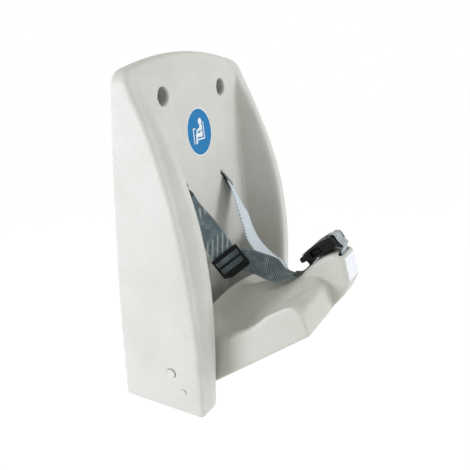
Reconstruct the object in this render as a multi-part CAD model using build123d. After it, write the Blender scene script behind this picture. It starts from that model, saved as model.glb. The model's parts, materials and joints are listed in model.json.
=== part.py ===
"""Folding child seat for a wall.

A hollow moulded back with side wings carries a hollow saddle seat on a steel rod. A two-strap harness
comes through slots in the back and ends in a side-release buckle on the nose of the seat. Millimetres;
+X is to the right seen from the front, -Y is to the front, +Z is up. Places are worked out as
(x, forward from the wall, height above the lowest edge), and the finished pieces are moved down so that
the origin lies on the wall plane at the centre of the four fixing holes.
"""
import math
import os

from build123d import *

# Back moulding
BODY_HEIGHT = 500.0
BODY_DEPTH = 136.5
WIDEST_HALF_WIDTH = 168.2
FOOT_NARROWING = 9.7
SHOULDER_NARROWING = 6.7
FOOT_HALF_WIDTH = WIDEST_HALF_WIDTH - FOOT_NARROWING
SHOULDER_HALF_WIDTH = WIDEST_HALF_WIDTH - SHOULDER_NARROWING
WIDEST_HEIGHT = 266.0
CROWN_RISE = 22.0
SHOULDER_HEIGHT = BODY_HEIGHT - CROWN_RISE
TOP_DEPTH = 13.0
TOP_CORNER_RADIUS = 22.0
FOOT_CORNER_RADIUS = 7.0
RIM_OUTER_RADIUS = 7.0
RIM_INNER_RADIUS = 7.0
BACK_WALL = 5.0
TOP_BAND = 29.0
RIM_TOP_HEIGHT = BODY_HEIGHT - TOP_BAND
RIM_BEND_SHARES = (0.1046, 0.224, 0.493)

# Space between the wings
WING_FOOT_THICKNESS = 39.5
WING_MID_THICKNESS = 40.7
WING_TOP_THICKNESS = 28.0
INNER_FOOT_HALF = FOOT_HALF_WIDTH - WING_FOOT_THICKNESS
INNER_MID_HALF = WIDEST_HALF_WIDTH - WING_MID_THICKNESS
INNER_MID_HEIGHT = 228.0
INNER_TOP_HALF = SHOULDER_HALF_WIDTH - WING_TOP_THICKNESS
PANEL_FOOT_DEPTH = 94.0
PANEL_LEAN = 8.4  # degrees
PANEL_LOW_HEIGHT = 205.0
RECESS_DEPTH = 26.0
RECESS_HEIGHT = 100.0
RECESS_CURVE_SHARES = ((0.24, 0.286), (0.76, 0.667))

# Wall fixings
FIXING_HALF_SPACING = 83.0
UPPER_FIXING_HEIGHT = 443.2
LOWER_FIXING_HEIGHT = 153.2
WELL_DIAMETER = 26.0
FIXING_DIAMETER = 8.0
FIXING_SKIN = 7.0
WELL_WALL = 4.0

# Seat moulding
SEAT_SIDE_GAP = 7.0
SEAT_HALF_WIDTH = INNER_FOOT_HALF - SEAT_SIDE_GAP
CHANNEL_SHARE = 9 / 14  # of the half width
CHANNEL_OFFSET = SEAT_HALF_WIDTH * CHANNEL_SHARE
SHOULDER_OFFSET = CHANNEL_OFFSET / 2
SEAT_REAR = 94.0
SEAT_FRONT = 273.0
SEAT_FRONT_HEIGHT = 148.0
SADDLE_RISE = 62.0
SEAT_WALL = 4.5
HEEL_REAR = 35.0
HEEL_FRONT = 115.3
HEEL_BOTTOM = 20.7
HEEL_TOP = 47.0
HEEL_RADIUS = 5.0
STATION_SHARES = (0.0, 0.10, 0.25, 0.42, 0.56, 0.70, 0.82, 0.91, 0.97, 1.0)
CREST_SHARES = (-0.21, -0.18, 0.0, 0.145, 0.32, 0.63, 0.92, 0.80, 0.46, 0.0)
FLANK_SHARES = (-0.24, -0.27, -0.11, 0.10, 0.23, 0.53, 0.69, 0.76, 0.55, 0.0)
CHANNEL_SHARES = (-0.31, -0.56, -0.56, -0.33, -0.07, 0.28, 0.565, 0.57, 0.26, 0.0)
LIP_SHARES = (-0.44, -0.60, -0.66, -0.44, -0.07, 0.37, 0.54, 0.45, 0.12, 0.0)

# Nose of the seat
NOSE_HALF_WIDTH = 26.0
NOSE_OVERHANG = 24.0
NOSE_REACH = SEAT_FRONT + NOSE_OVERHANG
NOSE_HEIGHT = 236.5
NOSE_SIDE_RADIUS = 6.0
NOSE_REAR_DROP = 59.5
NOSE_LENGTH_SHARES = (0.0, 0.31, 0.466, 0.602, 0.716, 0.864, 1.0, 0.92, 0.761, 0.6, 0.3)
NOSE_HEIGHT_SHARES = (-0.2, 0.56, 0.798, 0.933, 1.0, 0.95, 0.303, -0.034, -0.37, -0.45, -0.4)
NOSE_BASE_LENGTH = 88.0
NOSE_REAR = NOSE_REACH - NOSE_BASE_LENGTH
STRAP_BAR_DIAMETER = 6.0
STRAP_BAR_SKIN = 1.5

# Rod, bushes and stops
PIVOT_DEPTH = 84.0
PIVOT_HEIGHT = 61.7
ROD_DIAMETER = 12.0
ROD_END_INSET = 8.0
ROD_FIT = 0.05
BUSH_WALL = 2.5
BUSH_LENGTH = 22.0
BUSH_FLANGE_DIAMETER = 26.0
CAP_HEAD_DIAMETER = 13.0
CAP_HEAD_THICKNESS = 1.2
CAP_STEM_LENGTH = 6.0
BORE_WALL = 4.0
SIDE_PLAY = 0.4
STOP_DIAMETER = 24.0
STOP_OFFSET = 62.0
STOP_HEIGHT = 35.0
STOP_STEM_DIAMETER = 8.0
SEAT_CLEARANCE = 0.3

# Vent plugs
VENT_DEPTH = 103.5
VENT_HEIGHT = 35.0
VENT_DIAMETER = 6.0
VENT_HEAD_DIAMETER = 8.0
VENT_HEAD_THICKNESS = 0.8

# Belts and their slots
BELT_WIDTH = 38.0
BELT_THICKNESS = 1.5
SLOT_LENGTH = 49.7
SLOT_WIDTH = 6.0
SLOT_OFFSET = 69.7
SLOT_HEIGHT = 296.2
SLOT_ANGLE = 41.3  # degrees, the outboard end is the lower one
ANCHOR_DIAMETER = 6.0
ANCHOR_LENGTH = 64.0
ANCHOR_POCKET_DEPTH = 14.0
LOOP_POCKET_DEPTH = 18.0
LOOP_POCKET_WIDTH = 14.0

# Adjuster
ADJUSTER_WIDTH = 46.0
ADJUSTER_LENGTH = 34.0
ADJUSTER_THICKNESS = 3.4
ADJUSTER_BAR = 5.0
ADJUSTER_SIDE = 3.5

# Buckle, along its own axis
BUCKLE_SETBACK = 83.0
BUCKLE_DROP = 27.8
BUCKLE_REAR = NOSE_REACH - BUCKLE_SETBACK
BUCKLE_REAR_HEIGHT = NOSE_HEIGHT - BUCKLE_DROP
BUCKLE_RISE = 39.5  # degrees
BUCKLE_LENGTH = 70.0
BUCKLE_WIDTH = 50.0
BUCKLE_FRONT_WIDTH = 42.0
BUCKLE_THICKNESS = 16.5
BUCKLE_EDGE = 3.5
TONGUE_LENGTH = 24.0
TONGUE_WIDTH = 45.0
TONGUE_THICKNESS = 12.0
TONGUE_BAR = 5.0
STRAP_WINDOW = 6.0
BUCKLE_GAP = 0.4
CAVITY_HALF_WIDTH = 20.4
CAVITY_HEIGHT = 8.0
CAVITY_END = 57.0
WINDOW_START = 29.0
WINDOW_END = 47.0
RAIL_WIDTH = 6.0
RAIL_END = 53.0
PRONG_END = 54.0
PRONG_ARM = 5.0
PRONG_ROOT_LENGTH = 5.0
PRONG_INNER = 9.5
RELEASE_TRAVEL = 15.0
SQUEEZE_TRAVEL = 3.0

# Plate and disc
DISC_DIAMETER = 73.0
DISC_HEIGHT = 383.3
DISC_THICKNESS = 0.6
PLATE_WIDTH = 38.0
PLATE_HEIGHT = 32.0
PLATE_THICKNESS = 0.8

# Values worked out from the sizes above
OVERRUN = BODY_DEPTH
PATTERN_HEIGHT = (UPPER_FIXING_HEIGHT + LOWER_FIXING_HEIGHT) / 2
TO_ORIGIN = Pos(0, 0, -PATTERN_HEIGHT)
LEAN_SLOPE = math.tan(math.radians(PANEL_LEAN))
SIDES = (("left", -1), ("right", 1))
PLANK = BELT_THICKNESS / 2
BUCKLE_DIRECTION = (math.cos(math.radians(BUCKLE_RISE)), math.sin(math.radians(BUCKLE_RISE)))

# Belt routes in front of the slots, each point (x, forward, height)
LEFT_UPPER_ROUTE = ((-66.0, 67.0, 284.0), (-58.0, 92.0, 245.0), (-52.6, 106.7, 219.2), (-48.1, 116.4, 203.6))
LEFT_LOWER_ROUTE = ((-37.8, 122.0, 200.2), (-28.0, 135.8, 201.0), (-22.5, 160.0, 194.0),
                    (-18.5, 178.0, 182.8), (-10.0, 193.0, 184.5))
RIGHT_ROUTE = ((64.0, 67.0, 284.0), (53.0, 91.0, 248.0), (44.0, 111.0, 218.0), (35.0, 132.0, 200.0),
               (26.0, 155.0, 191.0), (17.0, 176.0, 188.0), (10.0, 193.0, 189.0))


# Point below the adjuster in line with the upper belt, and the direction across it, (x, forward, height)
ADJUSTER_FOOT = (-42.4, 128.4, 185.8)
ADJUSTER_ACROSS = (0.55, 0.55, 0.63)


def at(x, forward, height):
    """Point from its distance to the right, its distance from the wall and its height."""
    return Vector(x, -forward, height)


def rim_depth(height):
    """Distance from the wall to the front rim of the wings at a height."""
    share = height / RIM_TOP_HEIGHT
    first, second, third = RIM_BEND_SHARES
    return BODY_DEPTH * (1 - first * share - second * share**2 - third * share**3)


def panel_depth(height):
    """Distance from the wall to the leaning panel at a height."""
    return PANEL_FOOT_DEPTH - LEAN_SLOPE * height


def side_prism(edges, half_width):
    """Solid of a side outline, drawn as (-forward, height), on both sides of the middle."""
    return extrude(Plane.YZ.offset(-half_width) * make_face(edges), 2 * half_width)


def front_prism(face, depth, start=0):
    """Solid of a front outline, drawn as (x, height), from start forward by depth."""
    return Pos(0, -start, 0) * extrude(Plane.XZ * face, depth)


def body_outline(inset):
    """Front outline of the back moulding, moved in by inset."""
    foot = FOOT_HALF_WIDTH - inset
    shoulder = SHOULDER_HALF_WIDTH - inset
    low, high = inset, SHOULDER_HEIGHT - inset
    right = ThreePointArc((foot, low), (WIDEST_HALF_WIDTH - inset, WIDEST_HEIGHT), (shoulder, high))
    top = ThreePointArc((shoulder, high), (0, BODY_HEIGHT - inset), (-shoulder, high))
    left = ThreePointArc((-shoulder, high), (-WIDEST_HALF_WIDTH + inset, WIDEST_HEIGHT), (-foot, low))
    face = make_face([right, top, left, Line((-foot, low), (foot, low))])
    corners = face.vertices().sort_by(Axis.Y)
    face = fillet(corners[:2], FOOT_CORNER_RADIUS)
    corners = face.vertices().sort_by(Axis.Y)
    return fillet(corners[-2:], TOP_CORNER_RADIUS - inset)


def body_blank(inset):
    """Back moulding without the space between its wings, moved in by inset."""
    heights = [RIM_TOP_HEIGHT * step / len(STATION_SHARES) for step in range(len(STATION_SHARES) + 1)]
    rim = [(-rim_depth(height) + inset, max(height, inset)) for height in heights]
    rim.append((-TOP_DEPTH + inset / 2, BODY_HEIGHT - inset / 2))
    top = rim[-1]
    edges = [Spline(*rim), Line(top, (-inset, top[1])),
             Line((-inset, top[1]), (-inset, inset)), Line((-inset, inset), rim[0])]
    depth = BODY_DEPTH - 2 * inset
    slab = front_prism(body_outline(inset), depth + inset, inset)
    return slab & side_prism(edges, WIDEST_HALF_WIDTH + OVERRUN)


def wing_space(grow):
    """Space between the wings and in front of the panel and recess, made larger by grow."""
    foot, middle, top = INNER_FOOT_HALF + grow, INNER_MID_HALF + grow, INNER_TOP_HALF + grow
    high, low = BODY_HEIGHT + OVERRUN, -OVERRUN
    right = Polyline((foot, low), (foot, 0), (middle, INNER_MID_HEIGHT), (top, RIM_TOP_HEIGHT), (top, high))
    left = mirror(right, about=Plane.YZ)
    plan = make_face([right, left, Line((foot, low), (-foot, low)), Line((top, high), (-top, high))])
    shallow, deep = RECESS_DEPTH - grow, panel_depth(PANEL_LOW_HEIGHT) - grow
    rise = PANEL_LOW_HEIGHT - RECESS_HEIGHT
    curve = [(-shallow, RECESS_HEIGHT)]
    for along, up in RECESS_CURVE_SHARES:
        curve.append((-shallow - along * (deep - shallow), RECESS_HEIGHT + up * rise))
    curve.append((-deep, PANEL_LOW_HEIGHT))
    lean = math.radians(PANEL_LEAN)
    bend = Spline(*curve, tangents=[(0, 1), (math.sin(lean), math.cos(lean))])
    far = -BODY_DEPTH - OVERRUN
    crown = (-panel_depth(high) + grow, high)
    side = [Line((-shallow, low), curve[0]), bend, Line(curve[-1], crown), Line(crown, (far, high)),
            Line((far, high), (far, low)), Line((far, low), (-shallow, low))]
    return front_prism(plan, BODY_DEPTH + OVERRUN) & side_prism(side, INNER_TOP_HALF + grow + OVERRUN)


def across(radius, start, end, depth=PIVOT_DEPTH, height=PIVOT_HEIGHT):
    """Cylinder along X between two distances from the middle."""
    length = end - start
    rod = Rot(0, 90, 0) * Cylinder(radius, length)
    return Pos(start + length / 2, -depth, height) * rod


def forward_cylinder(radius, x, height, start, end):
    """Cylinder along Y between two distances from the wall."""
    length = end - start
    return Pos(x, -start - length / 2, height) * Cylinder(radius, length, rotation=(90, 0, 0))


def slot_box(side, length, width, start, end):
    """Box in line with a belt slot, between two distances from the wall."""
    depth = end - start
    box = Rot(0, side * SLOT_ANGLE, 0) * Box(length, depth, width)
    return Pos(side * SLOT_OFFSET, -start - depth / 2, SLOT_HEIGHT) * box


def fixings():
    """Places of the four wall fixings, with the depth of the front face there."""
    for _, side in SIDES:
        yield side * FIXING_HALF_SPACING, UPPER_FIXING_HEIGHT
        yield side * FIXING_HALF_SPACING, LOWER_FIXING_HEIGHT


def half_width_at(height):
    """Half width of the back moulding at a height near the pivot."""
    share = height / WIDEST_HEIGHT
    return FOOT_HALF_WIDTH + (WIDEST_HALF_WIDTH - FOOT_HALF_WIDTH) * share * (2 - share)


def on_front(edge):
    """Whether an edge runs round the front of the back moulding's outline, above the foot."""
    middle = edge @ 0.5
    close = abs(-middle.Y - rim_depth(middle.Z)) < RIM_OUTER_RADIUS
    return close and middle.Z > FOOT_CORNER_RADIUS and -middle.Y > TOP_DEPTH / 2


def on_wing(edge):
    """Whether an edge runs along the inner side of a wing's front rim."""
    middle = edge @ 0.5
    close = abs(-middle.Y - rim_depth(middle.Z)) < BACK_WALL / 2
    return close and abs(middle.X) > INNER_FOOT_HALF and edge.length > WIDEST_HALF_WIDTH


def back_shell():
    """Hollow back with wings, panel, recess, screw wells, belt slots and rod bores."""
    outer = body_blank(0)
    outer = fillet([edge for edge in outer.edges() if on_front(edge)], RIM_OUTER_RADIUS) - wing_space(0)
    outer = fillet([edge for edge in outer.edges() if on_wing(edge)], RIM_INNER_RADIUS)
    hollow = body_blank(BACK_WALL) - wing_space(BACK_WALL)
    cuts = []
    for x, height in fixings():
        hollow -= forward_cylinder(WELL_DIAMETER / 2 + WELL_WALL, x, height, 0, BODY_DEPTH)
        cuts.append(forward_cylinder(FIXING_DIAMETER / 2, x, height, -BACK_WALL, BODY_DEPTH))
        cuts.append(forward_cylinder(WELL_DIAMETER / 2, x, height, FIXING_SKIN, BODY_DEPTH))
    bush_outer = ROD_DIAMETER / 2 + ROD_FIT + BUSH_WALL
    for _, side in SIDES:
        hollow -= slot_box(side, ANCHOR_LENGTH + 2 * BACK_WALL, LOOP_POCKET_WIDTH + 2 * BACK_WALL,
                           0, LOOP_POCKET_DEPTH + BACK_WALL)
        hollow -= slot_box(side, SLOT_LENGTH + 2 * BACK_WALL, SLOT_WIDTH + 2 * BACK_WALL, 0, BODY_DEPTH)
        cuts.append(slot_box(side, SLOT_LENGTH, SLOT_WIDTH, -BACK_WALL, BODY_DEPTH))
        cuts.append(slot_box(side, SLOT_LENGTH + BACK_WALL, LOOP_POCKET_WIDTH, -BACK_WALL, LOOP_POCKET_DEPTH))
        cuts.append(slot_box(side, ANCHOR_LENGTH + BACK_WALL / 2, ANCHOR_DIAMETER + 2 * SEAT_CLEARANCE,
                             -BACK_WALL, ANCHOR_POCKET_DEPTH))
        inner, wide = side * INNER_FOOT_HALF, side * WIDEST_HALF_WIDTH
        hollow -= across(bush_outer + BORE_WALL, min(inner, wide), max(inner, wide))
        cuts.append(across(bush_outer, *sorted((side * SEAT_HALF_WIDTH, side * bush_end()))))
        cuts.append(across(ROD_DIAMETER / 2 + ROD_FIT, *sorted((inner, side * (WIDEST_HALF_WIDTH + BACK_WALL)))))
        cuts.append(across(VENT_DIAMETER / 2, *sorted((side * (half_width_at(VENT_HEIGHT) - 2 * BACK_WALL),
                                                       wide)), VENT_DEPTH, VENT_HEIGHT))
        cuts.append(forward_cylinder(STOP_STEM_DIAMETER / 2, side * STOP_OFFSET, STOP_HEIGHT,
                                     RECESS_DEPTH - 2 * BACK_WALL, BODY_DEPTH))
    shell = outer - hollow
    for cut in cuts:
        shell -= cut
    return shell


def bush_end():
    """Distance from the middle to the blind end of a bush's seat."""
    return inner_half_at(PIVOT_HEIGHT) + BUSH_LENGTH


def inner_half_at(height):
    """Half width between the wings at a height in their lower part."""
    return INNER_FOOT_HALF + (INNER_MID_HALF - INNER_FOOT_HALF) * height / INNER_MID_HEIGHT


def share_at(shares, along):
    """Share of the rise at a share of the seat's length, between the listed stations."""
    for index in range(1, len(STATION_SHARES)):
        start, end = STATION_SHARES[index - 1], STATION_SHARES[index]
        if along <= end:
            part = (along - start) / (end - start)
            return shares[index - 1] + part * (shares[index] - shares[index - 1])
    return shares[-1]


def seat_section(x, shares, inset):
    """Side outline of the seat at a distance from the middle, moved in by inset."""
    length = SEAT_FRONT - SEAT_REAR
    first, last = 2 * inset / length, 1 - 6 * inset / length
    points = []
    for station in STATION_SHARES:
        along = first + station * (last - first)
        height = SEAT_FRONT_HEIGHT + share_at(shares, along) * SADDLE_RISE - 2 * inset
        points.append((-SEAT_REAR - along * length, height))
    bottom, heel_rear = HEEL_BOTTOM + inset, HEEL_REAR + inset
    toe = (-HEEL_FRONT + inset / 2, bottom)
    corner = (-heel_rear - HEEL_RADIUS, bottom)
    heel = (-heel_rear, bottom + HEEL_RADIUS)
    high = (-heel_rear, HEEL_TOP)
    edges = [Spline(*points), Line(points[-1], toe), Line(toe, corner), Line(corner, heel),
             Line(heel, high), Line(high, points[0])]
    return Plane.YZ.offset(x) * make_face(edges)


def seat_blank(inset):
    """Seat without its nose, moved in by inset."""
    side = SEAT_HALF_WIDTH - inset
    between = [(lip + channel) / 2 for lip, channel in zip(LIP_SHARES, CHANNEL_SHARES)]
    half = ((side, LIP_SHARES), ((side + CHANNEL_OFFSET) / 2, between), (CHANNEL_OFFSET, CHANNEL_SHARES),
            (SHOULDER_OFFSET, FLANK_SHARES))
    rows = [(-x, shares) for x, shares in half] + [(0, CREST_SHARES)]
    rows += [(x, shares) for x, shares in reversed(half)]
    return loft([seat_section(x, shares, inset) for x, shares in rows])


def nose_blank(inset):
    """Upright nose at the front middle of the seat, moved in by inset."""
    reach = NOSE_REACH - NOSE_REAR - 2 * inset
    points = []
    for along, up in zip(NOSE_LENGTH_SHARES, NOSE_HEIGHT_SHARES):
        base = NOSE_HEIGHT - NOSE_REAR_DROP
        points.append((-NOSE_REAR - inset - along * reach, base + up * (NOSE_REAR_DROP - inset)))
    crown = Spline(*points[:5])
    edges = [crown, Line(points[4], points[5]), Polyline(*points[5:], points[0])]
    block = side_prism(edges, NOSE_HALF_WIDTH - inset)
    if inset:
        return block
    outer = [edge for edge in block.edges() if on_nose(edge)]
    return fillet(outer, NOSE_SIDE_RADIUS)


def on_nose(edge):
    """Whether an edge of the nose runs along the side of its top or front."""
    middle = edge @ 0.5
    above = middle.Z > NOSE_HEIGHT - NOSE_REAR_DROP
    return abs(abs(middle.X) - NOSE_HALF_WIDTH) < SEAT_CLEARANCE and above


def strap_slot():
    """Cut in the top of the nose for the front strap."""
    depth = NOSE_REACH - 4 * NOSE_SIDE_RADIUS
    box = Box(BELT_WIDTH + 2 * BELT_THICKNESS, 3 * BELT_THICKNESS, NOSE_REAR_DROP)
    return Pos(0, -depth - SEAT_WALL, NOSE_HEIGHT) * box


def seat_shell():
    """Hollow saddle seat with its nose, a tube for the rod and a strap slot, lowered to the origin."""
    rod_hole = ROD_DIAMETER / 2 + ROD_FIT
    side = SEAT_HALF_WIDTH
    hollow = TO_ORIGIN * seat_blank(SEAT_WALL) + TO_ORIGIN * nose_blank(SEAT_WALL)
    hollow -= TO_ORIGIN * across(rod_hole + BORE_WALL, -side, side)
    shell = TO_ORIGIN * seat_blank(0) + TO_ORIGIN * nose_blank(0) - hollow
    shell -= TO_ORIGIN * across(rod_hole, -side - SEAT_WALL, side + SEAT_WALL)
    end = NOSE_HALF_WIDTH - STRAP_BAR_SKIN
    shell -= TO_ORIGIN * across(STRAP_BAR_DIAMETER / 2 + ROD_FIT, -end, end, *strap_bar_place())
    return shell - TO_ORIGIN * strap_slot()


def strap_bar_place():
    """Depth and height of the bar inside the nose."""
    return NOSE_REACH - 4 * NOSE_SIDE_RADIUS + SEAT_WALL, NOSE_HEIGHT - NOSE_REAR_DROP / 2


def nose_strap_bar():
    """Steel bar inside the nose that the front strap loops round."""
    end = NOSE_HALF_WIDTH - STRAP_BAR_SKIN
    return across(STRAP_BAR_DIAMETER / 2, -end, end, *strap_bar_place())


def hinge_rod():
    """Steel rod that the seat turns on."""
    end = half_width_at(PIVOT_HEIGHT) - ROD_END_INSET
    return across(ROD_DIAMETER / 2, -end, end)


def hinge_bush(side):
    """Flanged bush in a wing: its sleeve is pressed into the wing, its flange spaces the seat."""
    bore = ROD_DIAMETER / 2 + ROD_FIT
    face = inner_half_at(PIVOT_HEIGHT)
    flange_end = SEAT_HALF_WIDTH + SIDE_PLAY
    lowest = inner_half_at(PIVOT_HEIGHT - BUSH_FLANGE_DIAMETER / 2)
    sleeve = across(bore + BUSH_WALL, *sorted((side * flange_end, side * (face + BUSH_LENGTH))))
    flange = across(BUSH_FLANGE_DIAMETER / 2, *sorted((side * flange_end, side * lowest)))
    hole = across(bore, *sorted((side * SEAT_HALF_WIDTH, side * WIDEST_HALF_WIDTH)))
    return sleeve + flange - hole


def rod_cap(side):
    """Push-in cap that closes the rod's bore in the outer face of a wing."""
    face = half_width_at(PIVOT_HEIGHT) + CAP_HEAD_THICKNESS / 2
    stem_end = half_width_at(PIVOT_HEIGHT) - CAP_STEM_LENGTH
    head = across(CAP_HEAD_DIAMETER / 2, *sorted((side * face, side * (face + CAP_HEAD_THICKNESS))))
    stem = across(ROD_DIAMETER / 2, *sorted((side * stem_end, side * face)))
    return head + stem


def vent_plug(side):
    """Small plug in the vent hole of a wing's outer face."""
    face = half_width_at(VENT_HEIGHT) + CAP_HEAD_THICKNESS / 2
    inside = half_width_at(VENT_HEIGHT) - BACK_WALL
    head = across(VENT_HEAD_DIAMETER / 2, *sorted((side * face, side * (face + VENT_HEAD_THICKNESS))),
                  VENT_DEPTH, VENT_HEIGHT)
    stem = across(VENT_DIAMETER / 2, *sorted((side * inside, side * face)), VENT_DEPTH, VENT_HEIGHT)
    return head + stem


def stop_pad(side):
    """Rubber pad on the recess that the seat's heel rests on, with its stem in the panel."""
    face = HEEL_REAR - SEAT_CLEARANCE
    disc = forward_cylinder(STOP_DIAMETER / 2, side * STOP_OFFSET, STOP_HEIGHT, RECESS_DEPTH, face)
    stem = forward_cylinder(STOP_STEM_DIAMETER / 2, side * STOP_OFFSET, STOP_HEIGHT,
                            RECESS_DEPTH - BACK_WALL, RECESS_DEPTH)
    return disc + stem


def anchor_depth():
    """Distance of the anchor bars' middle from the wall."""
    return ANCHOR_POCKET_DEPTH - ANCHOR_DIAMETER / 2 - SEAT_CLEARANCE


def anchor_bar(side):
    """Steel bar behind a belt slot that the belt's end loops round."""
    bar = Cylinder(ANCHOR_DIAMETER / 2, ANCHOR_LENGTH, rotation=(0, 90, 0))
    return Pos(side * SLOT_OFFSET, -anchor_depth(), SLOT_HEIGHT) * Rot(0, side * SLOT_ANGLE, 0) * bar


def belt_loop(side):
    """End of a belt, looped round its anchor bar."""
    inner = ANCHOR_DIAMETER / 2 + SEAT_CLEARANCE
    ring = Cylinder(inner + BELT_THICKNESS, BELT_WIDTH, rotation=(0, 90, 0))
    ring -= Cylinder(inner, BELT_WIDTH, rotation=(0, 90, 0))
    return Pos(side * SLOT_OFFSET, -anchor_depth(), SLOT_HEIGHT) * Rot(0, side * SLOT_ANGLE, 0) * ring


def ribbon(route, across_directions, width=BELT_WIDTH, thickness=BELT_THICKNESS):
    """Strip of webbing through the points of a route, each with the direction of its width."""
    points = [at(*point) for point in route]
    wires = []
    for index, middle in enumerate(points):
        before, after = points[max(index - 1, 0)], points[min(index + 1, len(points) - 1)]
        along = (after - before).normalized()
        wide = at(*across_directions[index])
        wide = (wide - along * wide.dot(along)).normalized() * (width / 2)
        thick = along.cross(wide).normalized() * (thickness / 2)
        corners = [middle + wide + thick, middle + wide - thick, middle - wide - thick, middle - wide + thick]
        wires.append(Wire.make_polygon(corners, close=True))
    return Solid.make_loft(wires, ruled=True)


def slot_direction(side):
    """Direction of a belt slot, its inboard end upwards."""
    angle = math.radians(SLOT_ANGLE)
    return (-side * math.cos(angle), 0, math.sin(angle))


def belt_start(side, route):
    """Route with its first two points added: just outside the belt's loop, and in front of the slot."""
    start = anchor_depth() + ANCHOR_DIAMETER / 2 + SEAT_CLEARANCE + BELT_THICKNESS / 2
    mouth = panel_depth(SLOT_HEIGHT) + SLOT_WIDTH - BELT_THICKNESS
    return tuple((side * SLOT_OFFSET, forward, SLOT_HEIGHT) for forward in (start, mouth)) + route


def belt_left_upper():
    """Left belt from its anchor bar to the adjuster."""
    slot = slot_direction(-1)
    wide = (slot, slot, (0.7, 0.2, 0.7), (0.6, 0.45, 0.65), ADJUSTER_ACROSS, ADJUSTER_ACROSS)
    return ribbon(belt_start(-1, LEFT_UPPER_ROUTE), wide) + belt_loop(-1)


def belt_left_lower():
    """Left belt from the adjuster to the buckle's tab."""
    wide = ((0.0, 0.0, 1.0), (0.0, 0.1, 1.0), (0.1, 0.2, 1.0), (0.6, 0.0, 0.8), (0.85, 0.0, 0.5))
    return ribbon(LEFT_LOWER_ROUTE, wide)


def belt_right():
    """Right belt from its anchor bar to the buckle's tab."""
    slot = slot_direction(1)
    wide = (slot, slot, (-0.7, 0.2, 0.7), (-0.6, 0.35, 0.7), (-0.55, 0.35, 0.75), (-0.5, 0.3, 0.8),
            (-0.55, 0.2, 0.8), (-0.7, 0.1, 0.7), (-0.85, 0.0, 0.5))
    return ribbon(belt_start(1, RIGHT_ROUTE), wide) + belt_loop(1)


def adjuster_plane():
    """Plane of the adjuster: its x runs down the belt, its y across, its z forward and to the left."""
    top, bottom = at(*LEFT_UPPER_ROUTE[-2]), at(*ADJUSTER_FOOT)
    along = (bottom - top).normalized()
    wide = at(*ADJUSTER_ACROSS)
    wide = (wide - along * wide.dot(along)).normalized()
    outward = along.cross(wide)
    proud = ADJUSTER_THICKNESS / 2 + PLANK + 2 * SEAT_CLEARANCE
    return Plane(origin=(top + bottom) * 0.5 + outward * proud, x_dir=along, z_dir=outward)


def adjuster_frame():
    """Ladder adjuster: a frame with a middle bar, so two windows."""
    body = Box(ADJUSTER_LENGTH, ADJUSTER_WIDTH, ADJUSTER_THICKNESS)
    body = fillet(body.edges().filter_by(Axis.Z), ADJUSTER_SIDE)
    window = (ADJUSTER_LENGTH - 3 * ADJUSTER_BAR) / 2
    cut = Box(window, ADJUSTER_WIDTH - 2 * ADJUSTER_SIDE, 2 * ADJUSTER_THICKNESS)
    for side in (-1, 1):
        body -= Pos(side * (window + ADJUSTER_BAR) / 2, 0, 0) * cut
    return adjuster_plane() * body


def buckle_plane():
    """Plane of the buckle: its x runs from the rear end to the front, its y to the right."""
    along, up = BUCKLE_DIRECTION
    return Plane(origin=at(0, BUCKLE_REAR, BUCKLE_REAR_HEIGHT), x_dir=at(0, along, up), z_dir=at(0, -up, along))


def buckle_box(start, end, width, height):
    """Box on the buckle's axis between two distances from its rear end."""
    return Pos((start + end) / 2, 0, 0) * Box(end - start, width, height)


def buckle_tongue():
    """Rear half of the buckle: a plate with a strap bar and a guide rail."""
    body = buckle_box(0, TONGUE_LENGTH, TONGUE_WIDTH, TONGUE_THICKNESS)
    body = fillet(body.edges().filter_by(Axis.Z), BUCKLE_EDGE)
    body = fillet(body.edges().group_by(Axis.Z)[-1], BUCKLE_EDGE)
    window = buckle_box(TONGUE_BAR, TONGUE_BAR + STRAP_WINDOW, BELT_WIDTH + BUCKLE_GAP, BODY_DEPTH)
    rail = buckle_box(TONGUE_LENGTH, RAIL_END, RAIL_WIDTH, CAVITY_HEIGHT - 2 * BUCKLE_GAP)
    return buckle_plane() * (body - window + rail)


def buckle_prong(side):
    """Springy prong of the tongue, whose button stands out of the socket's side window."""
    root = TONGUE_LENGTH + BUCKLE_GAP
    face = CAVITY_HALF_WIDTH - BUCKLE_GAP
    ramp_start = WINDOW_START + BUCKLE_GAP
    ramp_end = ramp_start + RELEASE_TRAVEL
    inner = face - PRONG_ARM
    points = [(root, PRONG_INNER), (root + PRONG_ROOT_LENGTH, PRONG_INNER),
              (root + 2 * PRONG_ROOT_LENGTH, inner), (PRONG_END, inner), (PRONG_END, face - PRONG_ARM / 2),
              (WINDOW_END - BUCKLE_GAP, face), (ramp_end, face + SQUEEZE_TRAVEL), (ramp_start, face),
              (root, face)]
    outline = make_face(Polyline(*[(x, side * y) for x, y in points], close=True))
    height = CAVITY_HEIGHT - 2 * BUCKLE_GAP
    solid = extrude(outline, height / 2, both=True)
    return buckle_plane() * solid


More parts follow.
